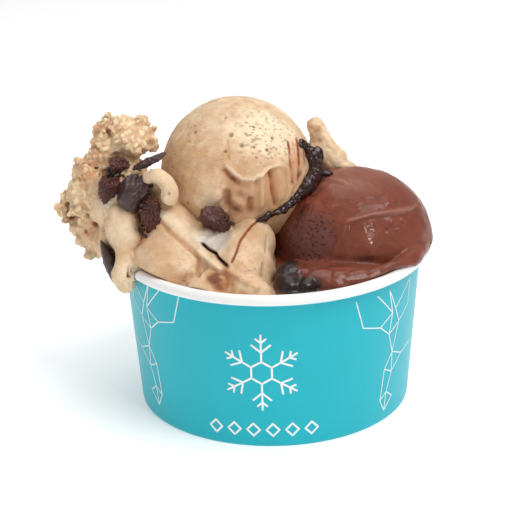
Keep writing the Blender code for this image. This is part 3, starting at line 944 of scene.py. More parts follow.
        # Painted shade: a dark line in the fudge colour where the ball meets the filling
        under_ball = stroke(places, [(-4.2, -17.4, 61.2), (-1.0, -15.6, 61.0), (3.6, -13.4, 61.6)], 1.2)
        tint = blend(tint, under_ball * 1.2, food.fudge)
        store(mesh, "tint", tint)
        store(mesh, "wet", np.clip(0.25 + smear * 1.2 + 0.25 * cloud + 0.5 * right, 0, 1))
        store(mesh, "pits", np.clip(0.15 + 0.5 * cloud, 0, 1) * (1 - smear))


class GELATO_OT_ball(bpy.types.Operator):
    """Make the hazelnut ball, pitted above, with a lip, flutes and caramel stains below"""

    bl_idname = "gelato.ball"
    bl_label = "Hazelnut ball"

    PITS = [((-11.2, -12.2, 84.5), 0.75), ((-8.1, -14.5, 82.0), 0.8), ((-21.5, -7.7, 84.1), 0.6),
            ((-12.9, -15.3, 80.6), 0.5), ((0.7, -10.3, 82.7), 0.6), ((-1.0, -13.6, 80.2), 0.6),
            ((-12.7, -7.0, 88.0), 0.5), ((-23.9, -14.0, 64.9), 0.5), ((-4.6, -14.4, 81.4), 0.5)]
    # The direction of the scoop's sweep, along which air pits are drawn out
    SWEEP = np.array((0.88, 0.0, -0.475))
    LIP_X = (-13.4, -12.4, -10.4, -7.8, -5.2, -3.6, -0.4, 3.4)
    LIP_Z = (77.4, 76.1, 74.4, 73.0, 72.5, 73.6, 74.7, 75.6)
    # (route, width, rise) of the drawn-out ridges and furrows under the lip
    FLUTES = [
        ([(-2.8, -17.6, 73.4), (-2.6, -18.0, 69.5), (-3.0, -17.8, 65.0)], 1.5, 1.1),
        ([(-5.4, -18.4, 72.3), (-5.6, -19.0, 68.5)], 1.3, 0.6),
        ([(0.0, -16.0, 74.4), (0.5, -16.7, 69.0), (1.3, -16.0, 64.0)], 1.2, -1.1),
        ([(2.2, -15.0, 74.0), (2.7, -15.5, 66.5)], 1.5, 0.6),
        ([(4.3, -13.6, 74.0), (4.5, -14.2, 67.0)], 0.9, -0.6),
        ([(6.4, -10.8, 75.0), (6.6, -12.0, 67.5)], 0.9, -0.6),
        ([(-9.8, -19.4, 66.9), (-8.6, -19.2, 65.9)], 2.2, 1.0),
        ([(-12.8, -19.2, 69.4), (-12.6, -19.0, 65.0)], 1.7, -0.9),
        ([(-5.8, -19.0, 67.0), (-6.2, -18.4, 63.5)], 1.5, -0.7),
    ]

    def execute(self, context):
        food = context.scene.gelato_food
        bm = bmesh.new()
        bmesh.ops.create_icosphere(bm, subdivisions=7, radius=BALL_RADIUS)
        bmesh.ops.translate(bm, verts=bm.verts, vec=BALL_CENTRE)
        mesh = mesh_from(bm, "ball_gelato")
        places, facing = points_of(mesh)
        x, _, z = places.T
        front = rise(-facing[:, 1], 0.2, 0.6)
        ragged = 0.45 * waves(places, 2.6, 29, 2)
        below = np.interp(x, self.LIP_X, self.LIP_Z) + ragged - z
        across = rise(x, -14.0, -11.8) * (1 - rise(x, 0.5, 5.0)) * front
        under = rise(below, -0.25, 0.55) * across
        edge = np.exp(-(((below + 0.5) / 0.7) ** 2)) * across
        fade = 0.35 + 0.65 * np.exp(-np.maximum(below, 0) / 4.5)
        cheek = self.cheek(x, z) * front
        deep = rise(z, 59.0, 63.0)
        lift = 0.3 * waves(places, 13.0, 7) + 0.1 * waves(places, 1.5, 9, 2)
        lift += 0.45 * patch(places, (-7.5, -16.5, 77.0), (7.5, 8.0, 5.5)) + 0.55 * edge
        lift += 1.1 * cheek - 1.1 * under * fade * deep
        drawn = waves(places * (1.0, 1.0, 0.18), 1.9, 35, 2)
        lift += 0.22 * drawn * np.maximum(under, rise(x, -1.0, 2.0) * front * rise(76.0 - z, 0, 3))
        flutes = np.zeros(len(places))
        for route, width, amount in self.FLUTES:
            mask = stroke(places, route, width)
            lift += amount * mask
            flutes += amount * mask
        zone, pits = self.pits(places)
        for centre, size in self.PITS:
            pits = np.maximum(pits, 2.0 * patch(places, centre, (size * 1.15,) * 3))
        lift -= food.pit_depth / MM * pits
        move(mesh, places + facing * lift[:, None])
        self.paint(mesh, places, food, zone, pits, under * deep, edge, cheek, flutes)
        finished(mesh, "ball_gelato", [material("churned_hazelnut_gelato")],
                 "hazelnut_gelato", "hazelnut_ball")
        return {"FINISHED"}

    def cheek(self, x, z):
        """The smooth swelling at the lower left, which ends in an edge at its right."""
        ahead = np.interp(z, (66.2, 68.5, 70.7, 75.8), (-15.8, -13.4, -14.6, -13.4)) - x
        upright = rise(z, 62.5, 66.0) * (1 - rise(z, 71.5, 76.0))
        return rise(ahead, -0.4, 0.6) * (1 - rise(ahead, 4.0, 9.0)) * upright

    def pits(self, places):
        """How strongly each point is in the aerated zone, and how deep in a pit."""
        zone = patch(places, (-1.0, -9.5, 83.5), (14.5, 14.0, 11.5))
        zone = np.maximum(zone, 0.35 * patch(places, (-22.0, -6.0, 82.0), (8, 8, 7)))
        drawn = places - 0.5 * (places @ self.SWEEP)[:, None] * self.SWEEP
        near, _, own = scatter(drawn, 1.35, 41)
        size = 0.25 + 0.3 * own
        chosen = (own < 0.2 + 0.8 * zone) * (0.1 + 0.9 * rise(zone, 0.05, 0.5))
        return zone, (1 - rise(near, size * 0.4, size)) * chosen

    def paint(self, mesh, places, food, zone, pits, under, edge, cheek, flutes):
        cloud = waves(places, 8.0, 51)
        fine = waves(places, 1.7, 53, 2)
        tint = np.tile(np.array(food.hazelnut), (len(places), 1))
        # The ball's top is painted paler, a painted highlight where the light falls; the rest of this
        # blend is the aerated zone and random tone
        lit_top = rise(places[:, 2], 76.0, 88.0)
        tint = blend(tint, 0.05 + 0.35 * cloud + 0.3 * fine + 0.75 * zone + 0.5 * lit_top, food.pale)
        # Painted highlight: the lip's edge and the cheek are painted paler
        tint = blend(tint, 0.7 * edge + 0.35 * cheek, food.pale)
        # Caramel stain under the lip, deeper in the furrows and fainter on the ridges; that difference
        # and the caramel in the furrows on the next line are painted shade
        tint = blend(tint, under * (0.32 - 0.3 * flutes + 0.2 * fine), food.caramel)
        tint = blend(tint, np.clip(-flutes, 0, 1) * 0.45, food.caramel)
        glow = patch(places, (7.2, -7.5, 75.5), (3.6, 6.0, 6.5))
        tint = blend(tint, glow * 0.55, food.peach)
        # (route, width, share, colour)
        stains = [
            ([(5.2, -8.0, 80.8), (5.4, -11.7, 74.9), (5.6, -12.6, 70.0)], 0.9, 1.1, food.burnt),
            ([(7.7, -4.6, 80.2), (7.8, -8.4, 75.0), (7.4, -10.6, 70.3)], 1.1, 1.2, food.burnt),
            ([(9.3, -3.0, 78.6), (9.4, -6.2, 73.5)], 1.2, 1.2, food.burnt),
            ([(6.4, -6.6, 80.6), (6.6, -10.0, 74.5)], 0.8, 0.6, food.caramel),
            ([(-12.0, -13.5, 83.2), (-11.8, -16.6, 78.7)], 0.7, 0.6, food.caramel),
            ([(-13.4, -17.8, 75.8), (-11.5, -18.6, 74.0), (-9.4, -18.9, 72.3)], 1.2, 1.0, food.burnt),
            ([(-12.6, -18.4, 75.0), (-10.4, -18.9, 73.0)], 0.7, 1.0, food.cocoa),
            # Partly stain and partly painted shade: this dark streak follows a furrow
            ([(0.2, -16.0, 74.2), (0.5, -16.7, 69.0), (1.2, -16.2, 64.5)], 0.6, 0.75, food.burnt),
            ([(-21.8, -11.0, 72.0), (-27.5, -8.0, 67.0), (-24.0, -12.0, 60.0)], 3.4, 0.35, food.caramel),
            ([(-24.0, -8.0, 80.0), (-21.0, -6.0, 86.0)], 3.0, 0.25, food.caramel),
            # Partly stain and partly painted shade: these two dark streaks follow furrows
            ([(-12.8, -19.2, 69.4), (-12.4, -19.0, 66.0), (-10.0, -19.0, 63.8)], 2.2, 0.75, food.cocoa),
            ([(-9.0, -19.2, 69.0), (-6.4, -19.0, 67.2), (-6.2, -18.4, 63.5)], 1.9, 0.6, food.burnt),
            ([(-10.2, -19.4, 66.6), (-8.6, -19.2, 65.8)], 2.0, 0.7, food.caramel),
        ]
        for route, width, share, colour in stains:
            mask = stroke(places, route, width) * share
            tint = blend(tint, mask * (0.8 + 0.6 * fine), colour)
        seep = stroke(places, [(8.6, -5.0, 79.5), (9.4, -7.5, 74.0), (7.6, -10.8, 69.0),
                               (3.0, -14.6, 64.5)], 1.2)
        tint = blend(tint, seep * (0.3 + 0.9 * fine), food.cocoa)
        tint = blend(tint, np.clip(pits, 0, 1) * 0.6, food.olive)
        # Painted shade: the ball is darker towards its underside
        low = rise(63.0 - places[:, 2], 0, 9)
        tint = blend(tint, 0.35 * low, food.caramel)
        store(mesh, "tint", tint)
        store(mesh, "wet", np.clip(0.2 + 0.3 * cloud + 0.35 * under - 0.4 * zone, 0, 1))
        store(mesh, "pits", np.clip(0.2 + 1.0 * zone, 0, 1) * (1 - np.clip(under, 0, 1)))


class GELATO_OT_torn_scoop(bpy.types.Operator):
    """Make the torn hazelnut scoop that hangs over the rim, crumbly above and outside"""

    bl_idname = "gelato.torn_scoop"
    bl_label = "Torn scoop"

    LUMPS = [
        ((-45.0, -2.0, 64.0), (10.0, 11.5, 13.5), (0, 12, 0)),
        ((-41.0, 0.0, 79.6), (6.8, 6.4, 5.6), (0, -10, 0)),
        ((-48.0, 0.0, 74.0), (5.6, 6.0, 6.0), (0, 0, 0)),
        ((-51.4, -1.0, 57.0), (6.4, 8.5, 10.0), (0, 8, 0)),
        ((-43.0, -13.6, 57.4), (5.0, 5.0, 7.4), (0, 8, 0)),
        ((-44.4, -14.2, 62.4), (2.6, 2.6, 2.8), (0, 0, 0)),
        ((-41.2, -16.6, 54.0), (4.8, 4.2, 4.8), (0, 0, 0)),
        ((-37.6, -21.2, 49.6), (3.2, 2.6, 2.8), (0, 0, 0)),
        ((-47.5, -8.0, 52.0), (5.0, 6.0, 6.0), (0, 0, 0)),
        ((-55.5, -3.0, 65.0), (4.0, 5.5, 5.0), (0, 0, 0)),
    ]
    DRIP = [(-42.2, -18.2, 53.0), (-42.4, -20.2, 50.0), (-43.1, -21.2, 46.8), (-42.2, -21.6, 43.9)]
    FLAP = [(-39.8, -21.4, 52.2), (-38.2, -23.0, 49.4), (-39.4, -23.6, 46.4)]
    # Nubs that stand out round the torn edge, as (centre, radius)
    NUBS = [
        ((-48.6, -1.0, 84.0), 2.2), ((-46.0, 0.0, 85.4), 2.2), ((-43.6, -2.0, 84.4), 2.5),
        ((-40.3, -1.0, 83.8), 2.7), ((-37.4, 1.0, 83.8), 2.3), ((-34.8, -1.0, 81.8), 2.3),
        ((-34.6, -2.0, 79.2), 2.2), ((-48.6, -2.0, 81.4), 2.4), ((-50.1, -1.0, 77.4), 2.2),
        ((-51.0, -2.0, 75.0), 2.2), ((-54.8, -1.0, 72.6), 2.3), ((-56.8, -2.0, 70.0), 2.0),
        ((-57.1, -2.0, 65.9), 2.1), ((-60.0, -1.0, 62.4), 2.2), ((-61.0, -2.0, 59.6), 1.8),
        ((-59.0, -3.0, 57.6), 2.1), ((-57.2, -3.0, 54.0), 1.8), ((-56.0, -4.0, 50.4), 1.9),
        ((-53.2, -4.0, 46.6), 2.2), ((-43.0, -5.0, 81.0), 2.6), ((-38.6, -5.0, 80.0), 2.4),
        ((-46.4, -5.0, 78.0), 2.4), ((-52.0, -6.0, 70.8), 2.6), ((-53.6, -6.5, 65.0), 2.6),
        ((-56.8, -5.5, 61.0), 2.4), ((-48.4, 6.0, 82.0), 2.6), ((-43.0, 6.5, 82.6), 2.6),
        ((-37.6, 6.0, 80.6), 2.6), ((-54.6, 6.0, 70.0), 2.8), ((-57.6, 5.0, 61.0), 2.8),
        ((-52.0, 9.0, 64.0), 3.0), ((-47.0, 9.5, 70.0), 3.0), ((-44.0, 8.5, 76.0), 3.0),
    ]

    # Hollows between the crumbs, as (centre, radius)
    HOLES = [
        ((-48.5, -9.8, 59.6), 2.0), ((-51.0, -9.4, 57.4), 1.4), ((-50.0, -9.8, 62.4), 1.1),
        ((-53.6, -8.0, 59.6), 1.3), ((-58.4, -5.0, 59.0), 1.6), ((-46.2, -10.5, 62.8), 1.2),
        ((-43.8, -18.3, 62.0), 0.7), ((-54.0, -8.0, 55.0), 1.0), ((-50.6, -9.0, 52.6), 0.9),
    ]

    def execute(self, context):
        food = context.scene.gelato_food
        bm = bmesh.new()
        for centre, radii, turn in self.LUMPS:
            lump(bm, centre, radii, turn)
        bead_line(bm, self.DRIP, 3.0, 3.3, 0.05)
        bead_line(bm, self.FLAP, 1.0, 1.1, 0.05, 0.5)
        self.crumble(bm)
        mesh = fused(bm, "torn_scoop_gelato", food.crumb_voxel, 2)
        places, facing = points_of(mesh)
        rough = self.roughness(places)
        near, second, _ = scatter(places + 0.5 * waves(places, 1.6, 60)[:, None], 2.3, 61)
        grit = np.clip((second - near) / 1.1, 0, 1)
        lift = rough * (0.55 * grit - 0.35 + 0.3 * waves(places, 1.1, 63, 2))
        lift += (0.35 * waves(places, 5.0, 65) + 0.1 * waves(places, 1.2, 66, 2)) * (1 - rough)
        hollow = stroke(places, [(-46.6, -12.0, 60.0), (-46.4, -14.0, 53.5), (-45.6, -15.0, 49.0)], 1.8)
        notch = stroke(places, [(-46.0, -18.0, 51.5), (-42.5, -20.0, 52.0)], 1.2)
        notch = np.maximum(notch, stroke(places, [(-40.6, -23.4, 50.6), (-41.2, -24.0, 46.6)], 0.8))
        holes = np.zeros(len(places))
        for centre, size in self.HOLES:
            holes = np.maximum(holes, patch(places, centre, (size,) * 3))
        lift -= 1.1 * hollow + 0.9 * notch + 1.0 * holes
        places = places + facing * lift[:, None]
        places = self.off_the_cup(places)
        move(mesh, places)
        self.paint(mesh, places, food, rough, grit, np.maximum(hollow, notch), holes)
        finished(mesh, "torn_scoop_gelato", [material("churned_hazelnut_gelato")],
                 "hazelnut_gelato", "hazelnut_torn_scoop")
        return {"FINISHED"}

    def crumble(self, bm):
        """Adds crumbs of 0.8 to 2 mm round every nub, and strewn between the nubs."""
        random = np.random.default_rng(12)
        for centre, reach in self.NUBS:
            lump(bm, centre, (reach * 0.8, reach * 0.8, reach * 0.75))
            for _ in range(15):
                way = random.normal(size=3)
                way /= np.linalg.norm(way)
                place = np.array(centre) + way * reach * random.uniform(0.7, 1.05)
                radii = random.uniform(0.6, 1.45) * random.uniform(0.7, 1.2, size=3)
                lump(bm, place, radii, random.uniform(0, 180, size=3), 2)

    def roughness(self, places):
        """1 where the gelato tore, and 0 where a spatula left it smooth."""
        knob = rise(places[:, 2], 69.0, 73.0)
        fringe = rise(-places[:, 0], 51.0, 55.0) * rise(places[:, 2], 53.0, 58.0)
        smooth = np.maximum(
            patch(places, (-43.0, -16.0, 57.0), (8.5, 7.0, 11.0)),
            patch(places, (-42.5, -22.0, 47.0), (6.5, 7.0, 9.0)),
        )
        return np.clip(np.maximum(knob, fringe) + 0.2, 0, 1) * (1 - 0.9 * smooth)

    def off_the_cup(self, places):
        """The points pushed out past the wall and the rim."""
        radius = np.hypot(places[:, 0], places[:, 1])
        least = np.where(
            places[:, 2] < WALL_HEIGHT, wall_radius(places[:, 2]) + SEAM_STEP, RIM_RADIUS + 0.2,
        )
        low = (places[:, 2] < RIM_TOP + 0.1) & (radius < least) & (radius > 38)
        share = np.where(low, least / np.maximum(radius, 1), 1.0)
        pushed = places.copy()
        pushed[:, :2] *= share[:, None]
        return pushed

    def paint(self, mesh, places, food, rough, grit, hollow, holes):
        cloud = waves(places, 6.0, 71)
        fine = waves(places, 1.5, 73, 2)
        tint = np.tile(np.array(food.hazelnut), (len(places), 1))
        tint = blend(tint, 0.4 + 0.35 * cloud + 0.15 * fine, food.pale)
        # Painted light and shade: the torn zone gets the crumb colour, paler on the raised crumbs and
        # caramel in the hollows between them
        tint = blend(tint, rough * (0.5 + 0.5 * grit), food.crumb)
        tint = blend(tint, rough * (1 - grit) * (0.4 + 0.4 * cloud), food.caramel)
        # Painted shade: the upper left side of the scoop is tinted peach
        upper_left_shade = patch(places, (-52.0, -5.0, 72.0), (5.0, 6.0, 5.0))
        upper_left_shade = np.maximum(upper_left_shade, patch(places, (-49.5, -5.0, 77.5), (2.8, 4.0, 2.8)))
        tint = blend(tint, upper_left_shade * (0.5 + 0.5 * fine), food.peach)
        low_side = patch(places, (-52.5, -9.0, 54.0), (5.0, 8.0, 8.0))
        tint = blend(tint, low_side * (0.3 + 0.5 * fine), food.caramel)
        # Painted shade: the hollows between the crumbs are darkened with cocoa
        tint = blend(tint, holes * (0.9 + 0.4 * fine), food.cocoa)
        seep = [((-43.4, -8.0, 76.6), 3.2), ((-46.8, -9.0, 73.6), 2.8), ((-47.0, -10.5, 68.0), 4.2),
                ((-39.4, -12.5, 66.0), 4.4), ((-58.6, -5.0, 57.6), 2.4), ((-37.0, -9.0, 76.6), 2.2),
                ((-38.6, -17.0, 54.0), 3.0)]
        for centre, reach in seep:
            mask = patch(places, centre, (reach * 1.4,) * 3)
            tint = blend(tint, mask * (0.6 + 0.7 * fine), food.cocoa)
        cream = patch(places, (-43.0, -17.0, 57.5), (6.5, 6.0, 9.5))
        cream = np.maximum(cream, patch(places, (-41.6, -22.0, 46.0), (6.0, 6.0, 8.0)))
        tint = blend(tint, cream * (0.85 + 0.2 * fine), food.pale)
        smear = patch(places, (-46.8, -13.0, 65.5), (3.6, 3.0, 4.0))
        tint = blend(tint, smear * (0.7 + 0.8 * fine), food.cream)
        # Painted shade: the hollow and the notches are darkened with cocoa
        tint = blend(tint, hollow * 1.1, food.cocoa)
        store(mesh, "tint", tint)
        store(mesh, "wet", np.clip(0.15 + 0.35 * (1 - rough) + 0.2 * cloud + smear, 0, 1))
        store(mesh, "pits", np.clip(0.3 + 0.3 * cloud, 0, 1) * (1 - rough))


class GELATO_OT_strands(bpy.types.Operator):
    """Make the smooth hazelnut curl beside the chunks and the tuft behind the ripple"""

    bl_idname = "gelato.strands"
    bl_label = "Curl and tuft"

    CURL = [(-34.9, -14.2, 73.0), (-33.0, -15.2, 74.0), (-30.5, -15.8, 72.9), (-28.9, -16.2, 70.4),
            (-29.0, -16.3, 67.8)]
    TUFT = [(13.4, 7.6, 80.6), (14.6, 7.2, 77.4), (16.6, 6.2, 73.8), (19.0, 4.4, 70.4)]

    def execute(self, context):
        food = context.scene.gelato_food
        bm = bmesh.new()
        bead_line(bm, self.CURL, 1.8, 2.7, 0.03, 0.4)
        mesh = fused(bm, "curl_gelato", food.crumb_voxel * 0.7, 6)
        places, facing = points_of(mesh)
        pit = patch(places, (-29.0, -18.4, 69.4), (0.75, 0.75, 0.75))
        groove = stroke(places, [(-33.6, -17.0, 72.4), (-31.2, -17.8, 71.4), (-30.8, -18.0, 68.5)], 0.9)
        lift = 0.22 * waves(places, 4.0, 81) - 0.4 * pit - 0.3 * groove
        move(mesh, places + facing * lift[:, None])
        tint = np.tile(np.array(food.hazelnut), (len(places), 1))
        tint = blend(tint, 0.75 + 0.3 * waves(places, 4.0, 83), food.pale)
        # Painted shade: the pit is darkened with caramel
        tint = blend(tint, pit * 0.8, food.caramel)
        self.keep(mesh, "curl_gelato", tint, 0.45, "hazelnut_curl")
        bm = bmesh.new()
        bead_line(bm, self.TUFT, 2.5, 4.0, 0.03, 0.5)
        lump(bm, (14.8, 7.0, 74.6), (3.4, 3.0, 4.4), (0, 10, 0))
        lump(bm, (21.4, 3.8, 69.6), (4.4, 3.6, 1.7), (0, 22, 0))
        mesh = fused(bm, "tuft_gelato", food.crumb_voxel * 0.85, 12)
        places, facing = points_of(mesh)
        upper = rise(places[:, 2], 73.0, 77.0)
        lift = 0.3 * waves(places, 3.2, 85) + 0.25 * upper * waves(places, 1.1, 87, 2)
        move(mesh, places + facing * lift[:, None])
        tint = np.tile(np.array(food.hazelnut), (len(places), 1))
        tint = blend(tint, 0.65 + 0.4 * waves(places, 3.0, 89), food.pale)
        tint = blend(tint, patch(places, (14.0, 5.6, 79.8), (1.6, 1.6, 1.6)) * 0.8, food.caramel)
        tint = blend(tint, rise(71.5 - places[:, 2], 0, 4) * 0.5, food.cocoa)
        self.keep(mesh, "tuft_gelato", tint, 0.35, "hazelnut_tuft")
        return {"FINISHED"}

    def keep(self, mesh, name, tint, wet, node):
        store(mesh, "tint", tint)
        store(mesh, "wet", np.full(len(tint), wet))
        store(mesh, "pits", np.full(len(tint), 0.12))
        finished(mesh, name, [material("churned_hazelnut_gelato")], "hazelnut_gelato", node)


# ---------------------------------------------------------------- the chocolate


class GELATO_OT_chocolate_scoop(bpy.types.Operator):
    """Make the chocolate gelato: a moist scoop with a frosted side, and its foot ring"""

    bl_idname = "gelato.chocolate_scoop"
    bl_label = "Chocolate scoop"

    RING = [(9.0, -31.4, 47.6), (17.0, -34.0, 47.8), (26.0, -32.4, 47.8), (34.0, -27.5, 48.2),
            (39.6, -20.5, 49.0), (43.0, -12.0, 49.4), (43.8, -3.0, 49.4)]
    BACK_RING = [(43.8, -3.0, 49.4), (42.0, 9.0, 48.8), (36.0, 19.5, 48.8), (25.0, 24.0, 49.0),
                 (14.0, 22.0, 49.0), (7.0, 15.0, 49.0)]

    # Clods at the near end of the ring, as (centre, radii, turn in degrees)
    CLODS = [
        ((5.0, -29.4, 48.2), (4.4, 4.8, 4.0), (0, 0, -20)),
        ((4.4, -32.6, 46.4), (4.4, 5.6, 4.4), (0, 0, 0)),
        ((9.2, -34.6, 46.6), (3.0, 4.2, 3.4), (0, 10, -10)),
        ((12.4, -33.0, 48.4), (3.6, 3.0, 2.6), (0, 12, 0)),
        ((6.4, -27.0, 50.0), (3.0, 2.4, 1.8), (0, 0, 0)),
        ((17.0, -35.4, 47.0), (5.0, 3.0, 2.8), (0, 4, -6)),
    ]
    # Blisters and dents in the glossy side, as (centre, radius, rise)
    BLISTERS = [
        ((34.4, -18.6, 59.6), 1.5, 0.45), ((37.8, -16.4, 59.2), 1.3, 0.4),
        ((35.8, -19.0, 57.2), 0.9, 0.45), ((35.4, -19.6, 55.4), 0.7, 0.4),
        ((32.2, -20.4, 57.6), 0.9, -0.5), ((29.6, -21.4, 55.6), 0.8, -0.5),
        ((28.4, -17.2, 66.0), 1.0, -0.4), ((36.4, -14.6, 64.0), 1.4, -0.45),
        ((33.6, -15.6, 64.2), 1.2, 0.35), ((31.0, -15.2, 67.0), 0.8, 0.3),
        ((27.4, -21.8, 52.8), 0.6, -0.4), ((38.6, -15.6, 55.4), 0.6, -0.3),
    ]

    def execute(self, context):
        food = context.scene.gelato_food
        bm = bmesh.new()
        bed(bm, 1, 34.0, 46.4)
        lump(bm, DOME_CENTRE, DOME_RADII, detail=5)
        lump(bm, (19.0, -24.0, 44.0), (19.0, 14.0, 6.0), (0, 0, 22))
        lump(bm, (21.0, 23.0, 44.0), (21.0, 17.0, 7.5), (0, 0, -12))
        bead_line(bm, self.RING, 3.4, 2.4, 0.05)
        bead_line(bm, self.BACK_RING, 2.4, 3.0, 0.1)
        for centre, radii, turn in self.CLODS:
            lump(bm, centre, radii, turn)
        mesh = fused(bm, "chocolate_gelato_scoop", food.voxel * 1.06, 4)
        places, facing = points_of(mesh)
        x, y, z = places.T
        cloud = waves(places, 9.0, 91)
        lift = 0.3 * cloud + 0.07 * waves(places, 2.0, 93, 2)
        front = rise(-facing[:, 1], 0.0, 0.3)
        ridge_height = np.interp(x, (20.0, 21.5, 27.4, 33.1, 40.2), (59.6, 60.6, 61.8, 61.8, 60.9))
        ridge_height = ridge_height + 0.12 * waves(places, 1.6, 92, 2)
        across = rise(x, 19.8, 22.0) * (1 - rise(x, 38.0, 43.0)) * front
        below = rise(ridge_height - z, -0.1, 0.35) * (1 - rise(ridge_height - z, 2.5, 11.0)) * across
        ridge = np.exp(-(((ridge_height - z + 0.3) / 0.45) ** 2)) * across
        left_of = np.interp(z, (48.0, 52.0, 54.7, 58.4, 61.0), (15.8, 16.6, 17.6, 19.4, 21.5)) - x
        flat = rise(left_of, -0.4, 0.5) * (1 - rise(left_of, 3.0, 9.0)) * front
        flat *= rise(z, 48.0, 51.0) * (1 - rise(z, 58.5, 61.5))
        lift += 0.35 * ridge - 0.8 * below - 0.4 * flat
        dull = patch(places, (9.0, -20.0, 56.0), (13.0, 11.0, 11.0))
        dull = np.clip(1.4 * dull, 0, 1) * rise(left_of, -1.0, 1.0)
        near, _, own = scatter(places, 1.5, 95)
        pits = (1 - rise(near, 0.15, 0.42)) * (own < 0.2 + 0.7 * dull)
        lift -= 0.28 * pits * (0.25 + 0.75 * dull)
        for centre, size, amount in self.BLISTERS:
            lift += amount * patch(places, centre, (size * 1.3,) * 3)
        brushed = waves(places * (1.0, 1.0, 3.0) + waves(places, 9.0, 99)[:, None] * 2.0, 5.0, 98, 2)
        lift += 0.16 * brushed * rise(z, 62.0, 66.0)
        fold = stroke(places, [(12.5, -3.0, 69.0), (18.5, -8.0, 69.4), (24.0, -12.5, 67.0)], 1.3)
        lift += 0.35 * fold
        shelf = rise(53.0 - z, 0, 3) * rise(-y, 24, 29)
        lift += shelf * 0.3 * waves(places * (0.5, 1.0, 1.0), 2.8, 97, 2)
        over = 3.4 * rise(x, 34.0, 42.0) * rise(14.0 - y, 0, 8) * rise(z, 45.8, 47.6)
        places = places + facing * lift[:, None]
        places = self.run_over(held_by_wall(places, over))
        move(mesh, places)
        self.paint(mesh, places, food, cloud, dull, pits, ridge, shelf, fold)
        finished(joined(mesh, self.rest(food)), "chocolate_gelato_scoop",
                 [material("churned_chocolate_gelato")], "chocolate_gelato", "chocolate_scoop")
        return {"FINISHED"}

    def rest(self, food):
        """What lies deep in the cup, as a coarse mesh."""
        bm = bmesh.new()
        bed(bm, 1, BASE_HEIGHT + 1.0, 36.0)
        mesh = mesh_from(bm, "chocolate_rest")
        count = len(mesh.vertices)
        store(mesh, "tint", np.tile(np.array(food.chocolate), (count, 1)))
        store(mesh, "wet", np.full(count, 0.5))
        store(mesh, "pits", np.full(count, 0.1))
        return mesh

    def run_over(self, places):
        """Lifts what crosses the rim so that it lies on the rolled edge and just past it."""
        radius = np.hypot(places[:, 0], places[:, 1])
        on_rim = (radius > wall_radius(WALL_HEIGHT) - BOARD) & (places[:, 2] > 40)
        away = np.clip(radius - ROLL_CENTRE[0], -ROLL_RADIUS, ROLL_RADIUS + 1.2)
        reach = ROLL_RADIUS + 0.25
        bend = np.where(away <= ROLL_RADIUS, np.sqrt(np.maximum(reach**2 - away**2, 0)), -1.0)
        least = ROLL_CENTRE[1] + bend
        lifted = places.copy()
        lifted[:, 2] = np.where(on_rim, np.maximum(places[:, 2], least), places[:, 2])
        return lifted

    def paint(self, mesh, places, food, cloud, dull, pits, ridge, shelf, fold):
        fine = waves(places, 1.8, 103, 2)
        specks = waves(places, 0.8, 105, 1)
        z = places[:, 2]
        tint = np.tile(np.array(food.chocolate), (len(places), 1))
        tint = tint * (1 + 0.14 * cloud + 0.12 * fine)[:, None]
        tint = blend(tint, dull * (0.75 + 0.3 * fine), food.dull)
        # Painted highlight: the fold and the top of the scoop are painted lighter
        tint = blend(tint, 0.35 * fold + 0.3 * rise(z, 65.0, 70.0), food.chocolate_sheen)
        near_fudge = stroke(places, [(14.0, -6.0, 68.0), (9.5, -13.0, 64.0), (5.0, -17.0, 59.0)], 4.5)
        tint = blend(tint, near_fudge * (0.35 + 0.9 * specks), food.fudge)
        # Painted shade: the pits are darkened with the fudge colour
        tint = blend(tint, pits * 0.6 * (0.3 + 0.7 * dull), food.fudge)
        # Painted highlight: the ridge is painted lighter
        tint = blend(tint, ridge * 0.5, food.chocolate_sheen)
        # Partly a darker chocolate lump and partly painted shade: the clods at the near end of the ring
        # are painted near-black
        gap = stroke(places, [(3.6, -29.0, 50.0), (3.8, -36.0, 46.6), (9.4, -36.5, 46.6)], 6.4)
        tint = blend(tint, gap * (1.8 + 0.5 * fine), food.fudge)
        # Painted shade: the groove between the dome and the ring is darkened with the fudge colour
        groove = stroke(places, [(12.0, -28.0, 50.4), (20.0, -27.0, 50.6), (28.0, -24.0, 50.8)], 1.8)
        tint = blend(tint, groove * 0.6, food.fudge)
        store(mesh, "tint", tint)
        store(mesh, "wet", np.clip(0.8 + 0.25 * cloud + 0.4 * shelf - 0.95 * dull - 0.35 * gap, 0, 1))
        store(mesh, "pits", np.clip(0.12 + 0.9 * dull, 0, 1))


